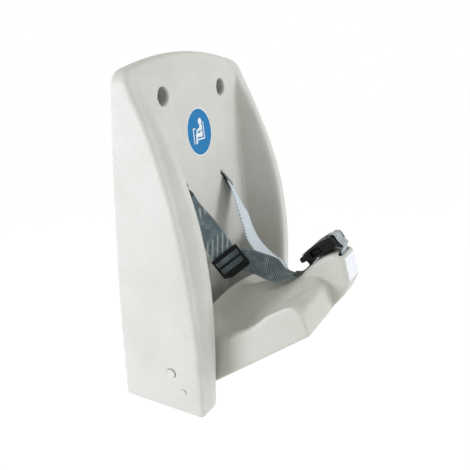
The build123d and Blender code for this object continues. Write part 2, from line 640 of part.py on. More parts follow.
def buckle_socket():
    """Front half of the buckle: an arched box with side windows and a strap bar."""
    start = TONGUE_LENGTH + BUCKLE_GAP
    half, front = BUCKLE_WIDTH / 2, BUCKLE_FRONT_WIDTH / 2
    outline = [(start, -half), (WINDOW_END, -half), (BUCKLE_LENGTH, -front), (BUCKLE_LENGTH, front),
               (WINDOW_END, half), (start, half)]
    body = extrude(make_face(Polyline(*outline, close=True)), BUCKLE_THICKNESS / 2, both=True)
    body = fillet(body.edges().group_by(Axis.Z)[-1], BUCKLE_EDGE)
    body -= buckle_box(0, CAVITY_END, 2 * CAVITY_HALF_WIDTH, CAVITY_HEIGHT)
    body -= buckle_box(WINDOW_START, WINDOW_END, BUCKLE_WIDTH + BUCKLE_EDGE, CAVITY_HEIGHT + BUCKLE_GAP)
    bar_start = BUCKLE_LENGTH - TONGUE_BAR
    body -= buckle_box(bar_start - STRAP_WINDOW, bar_start, BELT_WIDTH - STRAP_WINDOW, BODY_DEPTH)
    return buckle_plane() * body


def buckle_point(along, up):
    """Place, forward and height, of a point on the buckle's middle plane."""
    run, rise = BUCKLE_DIRECTION
    return (0, BUCKLE_REAR + along * run - up * rise, BUCKLE_REAR_HEIGHT + along * rise + up * run)


def tab_webbing():
    """Dark webbing under the buckle that ties both belts to the tongue's bar."""
    under = TONGUE_THICKNESS / 2 + BELT_THICKNESS
    over = TONGUE_THICKNESS / 2 + BELT_THICKNESS
    window = TONGUE_BAR + SEAT_CLEARANCE + PLANK
    route = (buckle_point(window, over), buckle_point(window, -under),
             (0, 208.5, 193.0), (0, 205.5, 187.0))
    return ribbon(route, [(1, 0, 0)] * len(route), BELT_WIDTH - STRAP_WINDOW)


def front_strap():
    """Short strap from the bar inside the nose up through the socket's front window."""
    window = BUCKLE_LENGTH - TONGUE_BAR - SEAT_CLEARANCE - PLANK
    over = BUCKLE_THICKNESS / 2 + BELT_THICKNESS
    slot, height = strap_bar_place()
    width = BELT_WIDTH - 2 * STRAP_WINDOW
    inner = STRAP_BAR_DIAMETER / 2 + SEAT_CLEARANCE
    loop = across(inner + BELT_THICKNESS, -width / 2, width / 2, slot, height)
    loop -= across(inner, -width / 2, width / 2, slot, height)
    route = (buckle_point(window, over), buckle_point(window, -over), (0, slot, NOSE_HEIGHT + SEAT_WALL),
             (0, slot, height + inner + BELT_THICKNESS / 2))
    return ribbon(route, [(1, 0, 0)] * len(route), width) + loop


def panel_plane(height):
    """Plane on the leaning panel at a height, facing forward."""
    lean = math.radians(PANEL_LEAN)
    return Plane(origin=at(0, panel_depth(height), height), x_dir=(1, 0, 0),
                 z_dir=at(0, math.cos(lean), math.sin(lean)))


def pictogram_disc():
    """Thin round disc on the panel."""
    disc = Pos(0, 0, DISC_THICKNESS / 2) * Cylinder(DISC_DIAMETER / 2, DISC_THICKNESS)
    return panel_plane(DISC_HEIGHT) * disc


def label_plate():
    """Bare plate on the front of the nose."""
    base = NOSE_HEIGHT - NOSE_REAR_DROP
    places = []
    for along, up in list(zip(NOSE_LENGTH_SHARES, NOSE_HEIGHT_SHARES))[5:7]:
        forward = NOSE_REAR + along * (NOSE_REACH - NOSE_REAR)
        places.append(at(0, forward, base + up * NOSE_REAR_DROP))
    top, bottom = places
    down = (bottom - top).normalized()
    plane = Plane(origin=(top + bottom) * 0.5, x_dir=(1, 0, 0), z_dir=Vector(1, 0, 0).cross(-down))
    return plane * Pos(0, 0, PLATE_THICKNESS / 2) * Box(PLATE_WIDTH, PLATE_HEIGHT, PLATE_THICKNESS)


def main():
    """Write every piece to its own file."""
    os.makedirs("parts", exist_ok=True)
    pieces = {"back_shell": back_shell(), "hinge_rod": hinge_rod()}
    for name, side in SIDES:
        pieces[f"hinge_bush_{name}"] = hinge_bush(side)
        pieces[f"rod_cap_{name}"] = rod_cap(side)
        pieces[f"vent_plug_{name}"] = vent_plug(side)
        pieces[f"stop_pad_{name}"] = stop_pad(side)
        pieces[f"belt_anchor_bar_{name}"] = anchor_bar(side)
        pieces[f"buckle_prong_{name}"] = buckle_prong(side)
    for piece in (belt_left_upper, belt_left_lower, belt_right, adjuster_frame, buckle_tongue,
                  buckle_socket, tab_webbing, front_strap, nose_strap_bar, pictogram_disc, label_plate):
        pieces[piece.__name__] = piece()
    lowered = {name: TO_ORIGIN * shape for name, shape in pieces.items()}
    lowered["seat_shell"] = seat_shell()
    for name, shape in lowered.items():
        export_step(shape, f"parts/{name}.step")


main()
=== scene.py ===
"""Looks of a wall mounted child seat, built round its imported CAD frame.

A moulded back with two side wings hangs on the wall, a moulded seat folds up between the wings,
and a webbing harness with a ladder adjuster and a side-squeeze buckle closes over the seat's nose.
Sizes in the classes of the sub-assemblies are in mm, and heights there are above the back's foot.
"""

import json
import logging
import math
from dataclasses import dataclass, field
from enum import Enum
from typing import Any, Sequence

import bmesh
import bpy
import numpy as np
from mathutils import Matrix, Vector
from mathutils.bvhtree import BVHTree

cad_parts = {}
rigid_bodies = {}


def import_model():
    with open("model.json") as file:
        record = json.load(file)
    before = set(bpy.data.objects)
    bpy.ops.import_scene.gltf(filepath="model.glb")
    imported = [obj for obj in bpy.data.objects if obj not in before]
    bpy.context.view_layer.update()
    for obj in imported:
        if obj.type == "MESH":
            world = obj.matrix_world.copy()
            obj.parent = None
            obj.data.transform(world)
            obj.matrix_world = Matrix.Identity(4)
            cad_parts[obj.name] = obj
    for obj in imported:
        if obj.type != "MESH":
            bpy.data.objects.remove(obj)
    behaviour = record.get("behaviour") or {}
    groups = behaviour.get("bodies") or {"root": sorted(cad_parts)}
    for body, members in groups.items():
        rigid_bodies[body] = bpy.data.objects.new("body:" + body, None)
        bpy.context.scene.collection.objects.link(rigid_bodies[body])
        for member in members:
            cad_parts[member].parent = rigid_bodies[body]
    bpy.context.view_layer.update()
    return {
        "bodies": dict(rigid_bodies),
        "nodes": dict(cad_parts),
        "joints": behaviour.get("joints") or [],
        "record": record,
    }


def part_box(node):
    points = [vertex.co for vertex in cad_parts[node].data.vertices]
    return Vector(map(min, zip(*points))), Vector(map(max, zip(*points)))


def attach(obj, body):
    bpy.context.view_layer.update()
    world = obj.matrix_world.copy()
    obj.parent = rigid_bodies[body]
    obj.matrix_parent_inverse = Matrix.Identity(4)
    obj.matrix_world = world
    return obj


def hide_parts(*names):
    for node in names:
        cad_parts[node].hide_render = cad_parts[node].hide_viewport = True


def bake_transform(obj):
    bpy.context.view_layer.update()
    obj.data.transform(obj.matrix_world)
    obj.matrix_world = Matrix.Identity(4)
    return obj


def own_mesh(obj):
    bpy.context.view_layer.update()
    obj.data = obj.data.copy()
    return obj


Spot = tuple[float, float]
Point = tuple[float, float, float]
Colour = tuple[float, float, float]
Bar = tuple[Spot, Spot, float]

LOG = logging.getLogger("child_seat")
MM = 0.001
WHITE = (1.0, 1.0, 1.0, 1.0)
WELD = 0.001 * MM  # points this close are one
PATTERN_HEIGHT = 298.2  # of the fixing pattern's centre above the foot, in mm like the sizes below
PANEL_FOOT = 94.0  # the panel's distance from the wall, carried on down to the foot
PANEL_SLOPE = 0.1476  # how much closer to the wall the panel comes with each mm of height
PANEL_LEAN = math.radians(8.4)
SLOT_SIDE, SLOT_FACE, SLOT_HEIGHT = 69.7, 50.0, 296.2  # middle of each belt slot in the panel
SLOT_REACH = 34.0  # radius of the place round a slot that keeps its crisp edges
SLOT_LEFT, SLOT_RIGHT = (0.7513, 0.0, 0.66), (-0.7513, 0.0, 0.66)  # directions along the slots
ADJUSTER_ACROSS = (0.55, 0.55, 0.63)  # direction along the ladder adjuster's bars
BUCKLE_REAR = (0.0, 214.0, 208.7)  # rear end of the buckle's middle line
BUCKLE_AHEAD, BUCKLE_ABOVE = (0.0, 0.7716, 0.6361), (0.0, -0.6361, 0.7716)


def place(x: float, forward: float, height: float) -> Vector:
    """Place in the row frame, in metres, of a point given in mm from the wall and the foot."""
    return Vector((x, -forward, height - PATTERN_HEIGHT)) * MM


def heading(x: float, forward: float, height: float) -> Vector:
    """Unit direction in the row frame of a direction given as right, forward and up."""
    return Vector((x, -forward, height)).normalized()


def buckle_point(along: float, up: float) -> Point:
    """Point in the buckle's middle plane, in mm along it from its rear and above its middle."""
    return tuple(r + along * a + up * b for r, a, b in zip(BUCKLE_REAR, BUCKLE_AHEAD, BUCKLE_ABOVE))


def linear(red: int, green: int, blue: int) -> Colour:
    """Linear colour of a screen colour from 0 to 255."""
    channels = [value / 255 for value in (red, green, blue)]
    return tuple(c / 12.92 if c <= 0.04045 else ((c + 0.055) / 1.055) ** 2.4 for c in channels)


# Shader expressions


class Term:
    """A socket's value in a material, which takes part in arithmetic."""

    def __init__(self, board: "Board", socket: bpy.types.NodeSocket) -> None:
        """Wraps one output socket of a board's nodes."""
        self.board = board
        self.socket = socket

    def _math(self, operation: str, *values: Any) -> "Term":
        """Math node of an operation on these values, in order."""
        return self.board.term("ShaderNodeMath", {"operation": operation}, dict(enumerate(values)))

    def __add__(self, other: Any) -> "Term":
        """Sum."""
        return self._math("ADD", self, other)

    __radd__ = __add__

    def __sub__(self, other: Any) -> "Term":
        """Difference."""
        return self._math("SUBTRACT", self, other)

    def __rsub__(self, other: Any) -> "Term":
        """Difference from a number."""
        return self._math("SUBTRACT", other, self)

    def __mul__(self, other: Any) -> "Term":
        """Product."""
        return self._math("MULTIPLY", self, other)

    __rmul__ = __mul__

    def __truediv__(self, other: Any) -> "Term":
        """Quotient."""
        return self._math("DIVIDE", self, other)

    def __pow__(self, other: Any) -> "Term":
        """Power."""
        return self._math("POWER", self, other)

    def __abs__(self) -> "Term":
        """Size without its sign."""
        return self._math("ABSOLUTE", self)

    def root(self) -> "Term":
        """Square root."""
        return self._math("SQRT", self)

    def wave(self, pitch: float) -> "Term":
        """Sine wave over this length, from -1 to 1."""
        return self._math("SINE", self * (2 * math.pi / pitch))

    def remainder(self, period: float) -> "Term":
        """What is left after whole periods, never below zero."""
        return self._math("FLOORED_MODULO", self, period)

    def least(self, other: Any) -> "Term":
        """The lower of two values."""
        return self._math("MINIMUM", self, other)

    def most(self, other: Any) -> "Term":
        """The higher of two values."""
        return self._math("MAXIMUM", self, other)

    def rise(self, low: float, high: float) -> "Term":
        """Eased share: 0 below low, 1 above high, or the other way about where low is the higher."""
        values = {"Value": self, "From Min": low, "From Max": high}
        return self.board.term("ShaderNodeMapRange", {"interpolation_type": "SMOOTHSTEP"}, values)


class Board:
    """The nodes of one material, or of the world."""

    def __init__(self, owner: bpy.types.Material | bpy.types.World) -> None:
        """Starts with an empty node tree.

        Args:
            owner: The material or world whose nodes these are.
        """
        owner.use_nodes = True
        owner.node_tree.nodes.clear()
        self.owner = owner
        self.tree = owner.node_tree

    def node(self, kind: str, settings: dict[str, Any] | None = None,
             values: dict[Any, Any] | None = None) -> bpy.types.Node:
        """Adds one node.

        Args:
            kind: Blender's name of the node's type.
            settings: Its settings, such as a Math node's operation.
            values: What its input sockets hold, by name or number: a value, a Term or a socket.

        Returns:
            The node.
        """
        node = self.tree.nodes.new(kind)
        for key, value in (settings or {}).items():
            setattr(node, key, value)
        for key, value in (values or {}).items():
            if isinstance(value, Term):
                value = value.socket
            if isinstance(value, bpy.types.NodeSocket):
                self.tree.links.new(value, node.inputs[key])
            else:
                node.inputs[key].default_value = value
        return node

    def term(self, kind: str, settings: dict[str, Any] | None = None,
             values: dict[Any, Any] | None = None, output: Any = 0) -> Term:
        """One output of a new node as a Term."""
        return Term(self, self.node(kind, settings, values).outputs[output])

    def blend(self, factor: Any, first: Any, second: Any) -> Term:
        """Colour between two colours or colour Terms by a factor from 0 to 1."""
        pair = [(*c, 1.0) if isinstance(c, tuple) and len(c) == 3 else c for c in (first, second)]
        return self.term("ShaderNodeMix", {"data_type": "RGBA"}, {0: factor, 6: pair[0], 7: pair[1]}, 2)

    def spot(self) -> bpy.types.NodeSocket:
        """Place on the piece in its own axes."""
        return self.node("ShaderNodeTexCoord").outputs["Object"]

    def noise(self, size: float, detail: float = 2.0, roughness: float = 0.5) -> Term:
        """Even noise from 0 to 1 with features of about a size in metres."""
        values = {"Vector": self.spot(), "Scale": 1.0 / size, "Detail": detail, "Roughness": roughness}
        return self.term("ShaderNodeTexNoise", {"noise_dimensions": "3D"}, values, "Fac")

    def cells(self, size: float) -> Term:
        """Distance to the nearest of random points about a size apart, from 0 to 1."""
        values = {"Vector": self.spot(), "Scale": 1.0 / size}
        return self.term("ShaderNodeTexVoronoi", {}, values, "Distance")

    def edges(self, low: float, high: float) -> Term:
        """Mask of the piece's outward edges, between two levels of pointedness."""
        return self.term("ShaderNodeNewGeometry", output="Pointiness").rise(low, high)

    def pair(self, attribute: str) -> list[Term]:
        """First two values of a piece's vector attribute."""
        vector = self.node("ShaderNodeAttribute", {"attribute_name": attribute}).outputs["Vector"]
        return self.split(vector)[:2]

    def split(self, vector: bpy.types.NodeSocket) -> list[Term]:
        """The three values of a vector."""
        node = self.node("ShaderNodeSeparateXYZ", {}, {0: vector})
        return [Term(self, output) for output in node.outputs]

    def seen(self) -> Term:
        """1 for a ray from the camera or from a shiny surface, and 0 for any other."""
        path = self.node("ShaderNodeLightPath").outputs
        return Term(self, path["Is Camera Ray"]).most(Term(self, path["Is Glossy Ray"]))

    def relief(self, height: Term, depth: float) -> Term:
        """Normal of a surface whose height Term spans a depth in metres."""
        values = {"Height": height, "Distance": depth, "Strength": 1.0}
        return self.term("ShaderNodeBump", {}, values, "Normal")

    def close(self, colour: Any, roughness: Any, normal: Term, **constants: float) -> bpy.types.Material:
        """Ends the material in one surface shader.

        Args:
            colour: Base colour, a colour or a Term.
            roughness: Roughness, a number or a Term.
            normal: Normal from relief().
            constants: Other sockets of the shader, with _ for a space, as plain numbers.

        Returns:
            The finished material.
        """
        values = {"Base Color": colour, "Roughness": roughness, "Normal": normal}
        values.update({key.replace("_", " "): value for key, value in constants.items()})
        shader = self.node("ShaderNodeBsdfPrincipled", {}, values)
        self.node("ShaderNodeOutputMaterial", {}, {"Surface": shader.outputs[0]})
        return self.owner


# Finishes


@dataclass(frozen=True)
class MouldedFinish:
    """Pale rotationally moulded plastic, with a fine grain, a faint mottle and rubbed edges."""

    name: str
    colour: Colour
    shade: Colour
    fleck: Colour
    rubbed: Colour = (0.86, 0.86, 0.85)
    roughness: float = 0.52
    drift_size: float = 60.0 * MM
    mottle_size: float = 3.5 * MM
    fleck_size: float = 4.2 * MM
    fleck_patch: float = 20.0 * MM
    grain_size: float = 1.1 * MM
    ripple_size: float = 4.5 * MM
    grain_depth: float = 0.35 * MM
    wells: Sequence[Spot] = ()
    well_radius: float = 12.6 * MM
    well_rim: float = 0.6 * MM
    # painted shade: near-black colour laid inside the screw wells, where shade falls in the holes
    well_shade_colour: Colour = (0.06, 0.06, 0.035)

    def _well_shade_mask(self, board: Board, across: float, up: float) -> Term:
        """Mask of the inside of the two screw wells at one height, where painted shade goes.

        Args:
            board: The material's nodes.
            across: Distance of the wells from the middle, in mm.
            up: Their height, in mm.

        Returns:
            1 within the wells and 0 on the panel.
        """
        side, forward, height = board.split(board.spot())
        reach = ((abs(side) - across * MM) ** 2.0 + (height - (up - PATTERN_HEIGHT) * MM) ** 2.0).root()
        behind = forward + (PANEL_FOOT - PANEL_SLOPE * up) * MM
        round_well = reach.rise(self.well_radius + self.well_rim, self.well_radius - self.well_rim)
        return round_well * behind.rise(1.5 * MM, 6.0 * MM)

    def material(self) -> bpy.types.Material:
        """Makes the material.

        Returns:
            The material, with painted shade inside the wells if the finish has any.
        """
        board = Board(bpy.data.materials.new(self.name))
        drift = board.noise(self.drift_size, 2.0)
        mottle = board.noise(self.mottle_size, 3.0, 0.6)
        patches = board.noise(self.fleck_patch).rise(0.35, 0.65)
        flecks = board.cells(self.fleck_size).rise(0.20, 0.08) * patches
        edge = board.edges(0.505, 0.56)
        cloud = drift.rise(0.3, 0.75) * 0.45 + mottle.rise(0.35, 0.7) * 0.35
        colour = board.blend(cloud, self.colour, self.shade)
        colour = board.blend(flecks * 0.5, colour, self.fleck)
        colour = board.blend(edge * 0.25, colour, self.rubbed)
        # painted shade: each screw well is darkened inside, where shade falls
        for across, up in self.wells:
            colour = board.blend(self._well_shade_mask(board, across, up) * 0.9, colour, self.well_shade_colour)
        grain = board.noise(self.grain_size, 2.0, 0.55) * 0.45 + board.noise(self.ripple_size, 2.0) * 0.55
        roughness = self.roughness + (mottle - 0.5) * 0.18 - edge * 0.06
        return board.close(colour, roughness, board.relief(grain, self.grain_depth), IOR=1.5)


@dataclass(frozen=True)
class WebbingFinish:
    """Woven strap: a twill of two yarns between plain selvedges, with a row of stitches if sewn."""

    name: str
    dark: Colour
    light: Colour
    pitch: float = 3.6 * MM
    lean: Spot = (1.0, -0.3)  # how far the twill's ridges count across and along
    half_width: float = 19.0 * MM
    selvedge: Spot = (2.6 * MM, 1.6 * MM)  # where it starts and is full, from the edge
    warp_pitch: float = 1.3 * MM
    weft_pitch: float = 1.6 * MM
    depth: float = 0.5 * MM
    sheen_spans: Sequence[Spot] = ()  # lengths, in mm along, that show painted sheen as bright streaks
    sheen_colour: Colour = (0.56, 0.63, 0.66)
    sheen_lean: Spot = (0.82, 0.57)
    sheen_pitch: float = 7.5 * MM
    fade: float = 6.0  # over which a length of painted sheen comes and goes, in mm
    slot_shadow_length: float = 0.0  # length, in mm, at the strap's start that gets painted shadow from the slot
    slot_shadow_colour: Colour = (0.02, 0.02, 0.02)
    stitch: Colour | None = None
    stitch_pitch: float = 5.5 * MM
    stitch_inset: float = 1.4 * MM

    def _stitches(self, across: Term, along: Term) -> Term:
        """Mask of a row of stitches beside each edge.

        Args:
            across: Place across the strap.
            along: Place along it.

        Returns:
            1 on a stitch and 0 off it.
        """
        seam = abs(abs(across) - (self.half_width - self.stitch_inset)).rise(1.3 * MM, 0.8 * MM)
        dash = abs(along.remainder(self.stitch_pitch) - self.stitch_pitch / 2)
        return seam * dash.rise(self.stitch_pitch * 0.30, self.stitch_pitch * 0.22)

    def material(self) -> bpy.types.Material:
        """Makes the material from the strap's own across and along.

        Returns:
            The material.
        """
        board = Board(bpy.data.materials.new(self.name))
        across, along = board.pair("strap_place")
        twill = (across * self.lean[0] + along * self.lean[1]).wave(self.pitch) * 0.5 + 0.5
        warp = across.wave(self.warp_pitch) * 0.5 + 0.5
        rim = abs(across).rise(self.half_width - self.selvedge[0], self.half_width - self.selvedge[1])
        weft = along.wave(self.weft_pitch) * 0.5 + 0.5
        height = (twill * 0.65 + warp * 0.35) * (1 - rim) + (weft * 0.5 + 0.4) * rim
        worn = board.noise(12.0 * MM, 3.0).rise(0.42, 0.68)
        fibre = board.noise(0.6 * MM, 2.0)
        level = (twill * 0.55 + warp * 0.2 + fibre * 0.35 + worn * 0.25 - 0.1).rise(0.15, 1.0)
        colour = board.blend(level, self.dark, self.light)
        colour = board.blend(rim * 0.3, colour, self.light)
        # painted sheen: bright slanted streaks over the given lengths stand in for light glancing off the
        # weave
        for start, end in self.sheen_spans:
            slant = across * self.sheen_lean[0] + along * self.sheen_lean[1]
            patch = along.rise(start * MM, (start + self.fade) * MM)
            patch = patch * along.rise((end + self.fade) * MM, end * MM)
            sheen_mask = slant.wave(self.sheen_pitch).rise(0.1, 0.9) * patch
            colour = board.blend(sheen_mask * 0.6, colour, self.sheen_colour)
        if self.stitch is not None:
            stitches = self._stitches(across, along)
            colour = board.blend(stitches, colour, self.stitch)
            height = height + stitches * 0.8
        # painted shadow: the strap's start is darkened where the slot shades it
        if self.slot_shadow_length > 0:
            inside = along.rise((self.slot_shadow_length + 4) * MM, self.slot_shadow_length * MM)
            colour = board.blend(inside * 0.85, colour, self.slot_shadow_colour)
        return board.close(colour, 0.62 + (1 - twill) * 0.2, board.relief(height, self.depth),
                           Sheen_Weight=0.25, Sheen_Roughness=0.4, IOR=1.45)


@dataclass(frozen=True)
class HardFinish:
    """Hard moulded or turned part: plastic, rubber or steel, with fine grain and handling marks."""

    name: str
    colour: Colour
    worn: Colour
    roughness: float
    grain: float = 0.8 * MM
    depth: float = 0.08 * MM
    smear_size: float = 9.0 * MM
    metallic: float = 0.0
    bend: float = 1.5  # index of refraction

    def material(self) -> bpy.types.Material:
        """Makes the material.

        Returns:
            The material.
        """
        board = Board(bpy.data.materials.new(self.name))
        smear = board.noise(self.smear_size, 3.0, 0.6).rise(0.35, 0.75)
        speck = board.noise(self.grain, 2.0)
        colour = board.blend(board.edges(0.51, 0.60) * 0.5 + smear * 0.25, self.colour, self.worn)
        roughness = self.roughness + (smear - 0.5) * 0.16 + (speck - 0.5) * 0.1
        return board.close(colour, roughness, board.relief(speck, self.depth),
                           Metallic=self.metallic, IOR=self.bend)


@dataclass(frozen=True)
class Stencil:
    """Masks of the shapes on a printed face, from its own right and up."""

    right: Term
    up: Term
    blur: float = 0.2 * MM

    def disc(self, x: float, y: float, radius: float) -> Term:
        """Mask of a filled circle, its middle and radius in mm."""
        reach = ((self.right - x * MM) ** 2.0 + (self.up - y * MM) ** 2.0).root()
        return reach.rise(radius * MM + self.blur, radius * MM - self.blur)

    def bar(self, start: Spot, end: Spot, width: float) -> Term:
        """Mask of a round-ended bar.

        Args:
            start: Middle of its one end, in mm.
            end: Middle of its other end.
            width: Its width.

        Returns:
            1 on the bar and 0 off it.
        """
        (x0, y0), (x1, y1) = [(x * MM, y * MM) for x, y in (start, end)]
        dx, dy = x1 - x0, y1 - y0
        share = (((self.right - x0) * dx + (self.up - y0) * dy) / (dx * dx + dy * dy)).most(0.0).least(1.0)
        reach = ((self.right - x0 - share * dx) ** 2.0 + (self.up - y0 - share * dy) ** 2.0).root()
        return reach.rise(width * MM / 2 + self.blur, width * MM / 2 - self.blur)


@dataclass(frozen=True)
class DiscFinish:
    """Printed disc: a seated child with a lap belt in white on blue, inside a pale ring."""

    name: str
    blue: Colour
    white: Colour
    radius: float = 36.5 * MM
    ring: Spot = (2.0 * MM, 1.6 * MM)  # where the ring starts and is full, from the edge
    head: Point = (3.5, 15.5, 5.2)
    limbs: Sequence[Bar] = (((4.5, 7.5), (4.0, -4.5), 8.0), ((4.0, -4.5), (-9.0, -4.0), 6.2),
                            ((-9.0, -4.0), (-11.0, -15.0), 4.6), ((3.0, 6.0), (-8.0, 1.5), 3.6))
    seat: Sequence[Bar] = (((12.5, 13.0), (12.5, -11.0), 2.2), ((12.5, -11.0), (-5.5, -11.0), 2.2),
                           ((-18.0, 6.0), (-18.0, -16.0), 2.2), ((-18.0, 6.0), (-12.5, 6.0), 2.2))
    belt: Bar = ((9.0, 2.5), (-2.0, -1.0), 1.5)

    def material(self) -> bpy.types.Material:
        """Makes the material from the disc's own right and up.

        Returns:
            The material.
        """
        board = Board(bpy.data.materials.new(self.name))
        right, up = board.pair("print_place")
        stencil = Stencil(right, up)
        figure = stencil.disc(*self.head)
        for bar in (*self.limbs, *self.seat):
            figure = figure.most(stencil.bar(*bar))
        figure = figure * (1 - stencil.bar(*self.belt))
        reach = (right ** 2.0 + up ** 2.0).root()
        white = figure.most(reach.rise(self.radius - self.ring[0], self.radius - self.ring[1]))
        cloud = board.noise(4.0 * MM, 3.0).rise(0.3, 0.8)
        blue = board.blend(cloud * 0.22, self.blue, tuple(c * 0.7 for c in self.blue))
        colour = board.blend(white, blue, self.white)
        roughness = 0.30 + board.noise(6.0 * MM, 3.0) * 0.12
        height = white * 0.3 + board.noise(2.0 * MM, 2.0) * 0.35
        return board.close(colour, roughness, board.relief(height, 0.06 * MM), Coat_Weight=0.04, IOR=1.22)


@dataclass(frozen=True)
class PlateFinish:
    """Bare film label, white with a faint crease and a rubbed rim."""

    name: str
    colour: Colour
    shade: Colour
    half_width: float = 21.5 * MM
    half_height: float = 17.5 * MM
    rim: float = 2.0 * MM

    def material(self) -> bpy.types.Material:
        """Makes the material from the label's own right and up.

        Returns:
            The material.
        """
        board = Board(bpy.data.materials.new(self.name))
        right, up = board.pair("print_place")
        rim = abs(right).rise(self.half_width - self.rim, self.half_width)
        rim = rim.most(abs(up).rise(self.half_height - self.rim, self.half_height))
        cloud = board.noise(8.0 * MM, 3.0).rise(0.35, 0.75)
        colour = board.blend(cloud * 0.35 + rim * 0.5, self.colour, self.shade)
        height = board.noise(3.0 * MM, 2.0) * 0.6 + board.noise(0.7 * MM, 1.0) * 0.2
        return board.close(colour, 0.32 + cloud * 0.12, board.relief(height, 0.08 * MM), IOR=1.48)


class Finish(Enum):
    """Every finish on the seat."""

    BACK = MouldedFinish("back_moulded", linear(214, 213, 210), linear(200, 199, 194), linear(180, 178, 168),
                         wells=((83.0, 443.2), (83.0, 153.2)))
    SEAT = MouldedFinish("seat_moulded", linear(206, 205, 199), linear(194, 193, 185), linear(172, 170, 157))
    LEFT = WebbingFinish("left_twill", linear(56, 72, 78), linear(134, 150, 157), pitch=2.7 * MM,
                         sheen_spans=((60.0, 72.0), (108.0, 134.0)), slot_shadow_length=40.0)
    LOWER = WebbingFinish("lower_twill", linear(60, 76, 81), linear(152, 168, 174), pitch=3.0 * MM,
                          lean=(0.6, 1.0))
    RIGHT = WebbingFinish("right_twill", linear(214, 226, 238), linear(232, 240, 248), pitch=1.7 * MM,
                          slot_shadow_length=44.0, stitch=linear(70, 80, 92))
    DARK = WebbingFinish("dark_twill", linear(12, 12, 13), linear(34, 35, 37), half_width=16.0 * MM)
    PALE = WebbingFinish("nose_twill", linear(140, 150, 158), linear(205, 211, 216), half_width=13.0 * MM)
    BUCKLE = HardFinish("buckle_nylon", linear(9, 9, 10), linear(30, 30, 31), 0.5, bend=1.25)
    STEEL = HardFinish("bright_steel", linear(178, 180, 182), linear(205, 206, 207), 0.3,
                       grain=0.5 * MM, depth=0.04 * MM, metallic=1.0)
    NYLON = HardFinish("bush_nylon", linear(214, 210, 198), linear(230, 228, 220), 0.5)
    CAP = HardFinish("cap_moulded", linear(214, 213, 210), linear(218, 217, 214), 0.52)
    RUBBER = HardFinish("stop_rubber", linear(42, 42, 42), linear(70, 70, 69), 0.8,
                        grain=1.2 * MM, depth=0.2 * MM)
    DISC = DiscFinish("blue_print", linear(24, 122, 184), linear(236, 241, 245))
    PLATE = PlateFinish("bare_film", linear(238, 240, 246), linear(205, 210, 222))

    def get(self) -> bpy.types.Material:
        """The finish's material, made at its first use."""
        found = bpy.data.materials.get(self.value.name)
        return found if found is not None else self.value.material()


# Mesh tools


def add_object(name: str, mesh: bpy.types.Mesh, finish: Finish | None = None) -> bpy.types.Object:
    """Links a new object, smooth shaded.

    Args:
        name: The object's name.
        mesh: Its mesh.
        finish: Its finish, if it has one.

    Returns:
        The object.
    """
    obj = bpy.data.objects.new(name, mesh)
    bpy.context.scene.collection.objects.link(obj)
    mesh.shade_smooth()
    if finish is not None:
        mesh.materials.clear()
        mesh.materials.append(finish.get())
    return obj


def mesh_from(name: str, verts: Sequence[Any], faces: Sequence[Any]) -> bpy.types.Mesh:
    """Makes a mesh.

    Args:
        name: The mesh's name.
        verts: Its points, in metres.
        faces: Its faces, each the numbers of its points.

    Returns:
        The mesh.
    """
    mesh = bpy.data.meshes.new(name)
    mesh.from_pydata([tuple(v) for v in verts], [], [tuple(f) for f in faces])
    mesh.update()
    return mesh


def store(mesh: bpy.types.Mesh, name: str, values: Sequence[Point]) -> None:
    """Stores one vector a point as an attribute that a finish reads."""
    layer = mesh.attributes.new(name, "FLOAT_VECTOR", "POINT")
    layer.data.foreach_set("vector", np.array(values, np.float32).ravel())


def face_outward(mesh: bpy.types.Mesh) -> None:
    """Turns the faces of a closed mesh outward.

    Args:
        mesh: Mesh to change.
    """
    bm = bmesh.new()
    bm.from_mesh(mesh)
    bmesh.ops.recalc_face_normals(bm, faces=bm.faces)
    bm.to_mesh(mesh)
    bm.free()


def diagonal(verts: set[bmesh.types.BMVert]) -> float:
    """Length of the diagonal of the box round some points."""
    spots = np.array([tuple(vert.co) for vert in verts])
    return float(np.linalg.norm(spots.max(axis=0) - spots.min(axis=0)))


def outer_island(mesh: bpy.types.Mesh) -> bpy.types.Mesh:
    """Welds a mesh and keeps only its island with the largest box, which drops a closed cavity.

    Args:
        mesh: Mesh to copy.

    Returns:
        New mesh of the outer skin.
    """
    bm = bmesh.new()
    bm.from_mesh(mesh)
    bmesh.ops.remove_doubles(bm, verts=bm.verts, dist=WELD)
    left, islands = set(bm.verts), []
    while left:
        start = left.pop()
        island, front = {start}, [start]
        while front:
            for link in front.pop().link_edges:
                for vert in left.intersection(link.verts):
                    left.discard(vert)
                    island.add(vert)
                    front.append(vert)
        islands.append(island)
    keep = max(islands, key=diagonal)
    bmesh.ops.delete(bm, geom=[v for v in bm.verts if v not in keep], context="VERTS")
    result = bpy.data.meshes.new(mesh.name + "_outer")
    bm.to_mesh(result)
    bm.free()
    return result


def remeshed(mesh: bpy.types.Mesh, voxel: float) -> bpy.types.Mesh:
    """Remakes a closed mesh of even quads.

    Args:
        mesh: Mesh to remake.
        voxel: Width of a quad, in metres.

    Returns:
        The new mesh.
    """
    obj = bpy.data.objects.new("remesh", mesh)
    bpy.context.scene.collection.objects.link(obj)
    modifier = obj.modifiers.new("voxels", "REMESH")
    modifier.mode, modifier.voxel_size = "VOXEL", voxel
    graph = bpy.context.evaluated_depsgraph_get()
    result = bpy.data.meshes.new_from_object(obj.evaluated_get(graph))
    bpy.data.objects.remove(obj)
    return result


def points_of(mesh: bpy.types.Mesh) -> np.ndarray:
    """Reads a mesh's points.

    Args:
        mesh: Mesh to read.

    Returns:
        The points as rows.
    """
    points = np.zeros(len(mesh.vertices) * 3, np.float32)
    mesh.vertices.foreach_get("co", points)
    return points.reshape(-1, 3).astype(float)


def set_points(mesh: bpy.types.Mesh, points: np.ndarray) -> None:
    """Moves the mesh's points."""
    mesh.vertices.foreach_set("co", points.astype(np.float32).ravel())
    mesh.update()


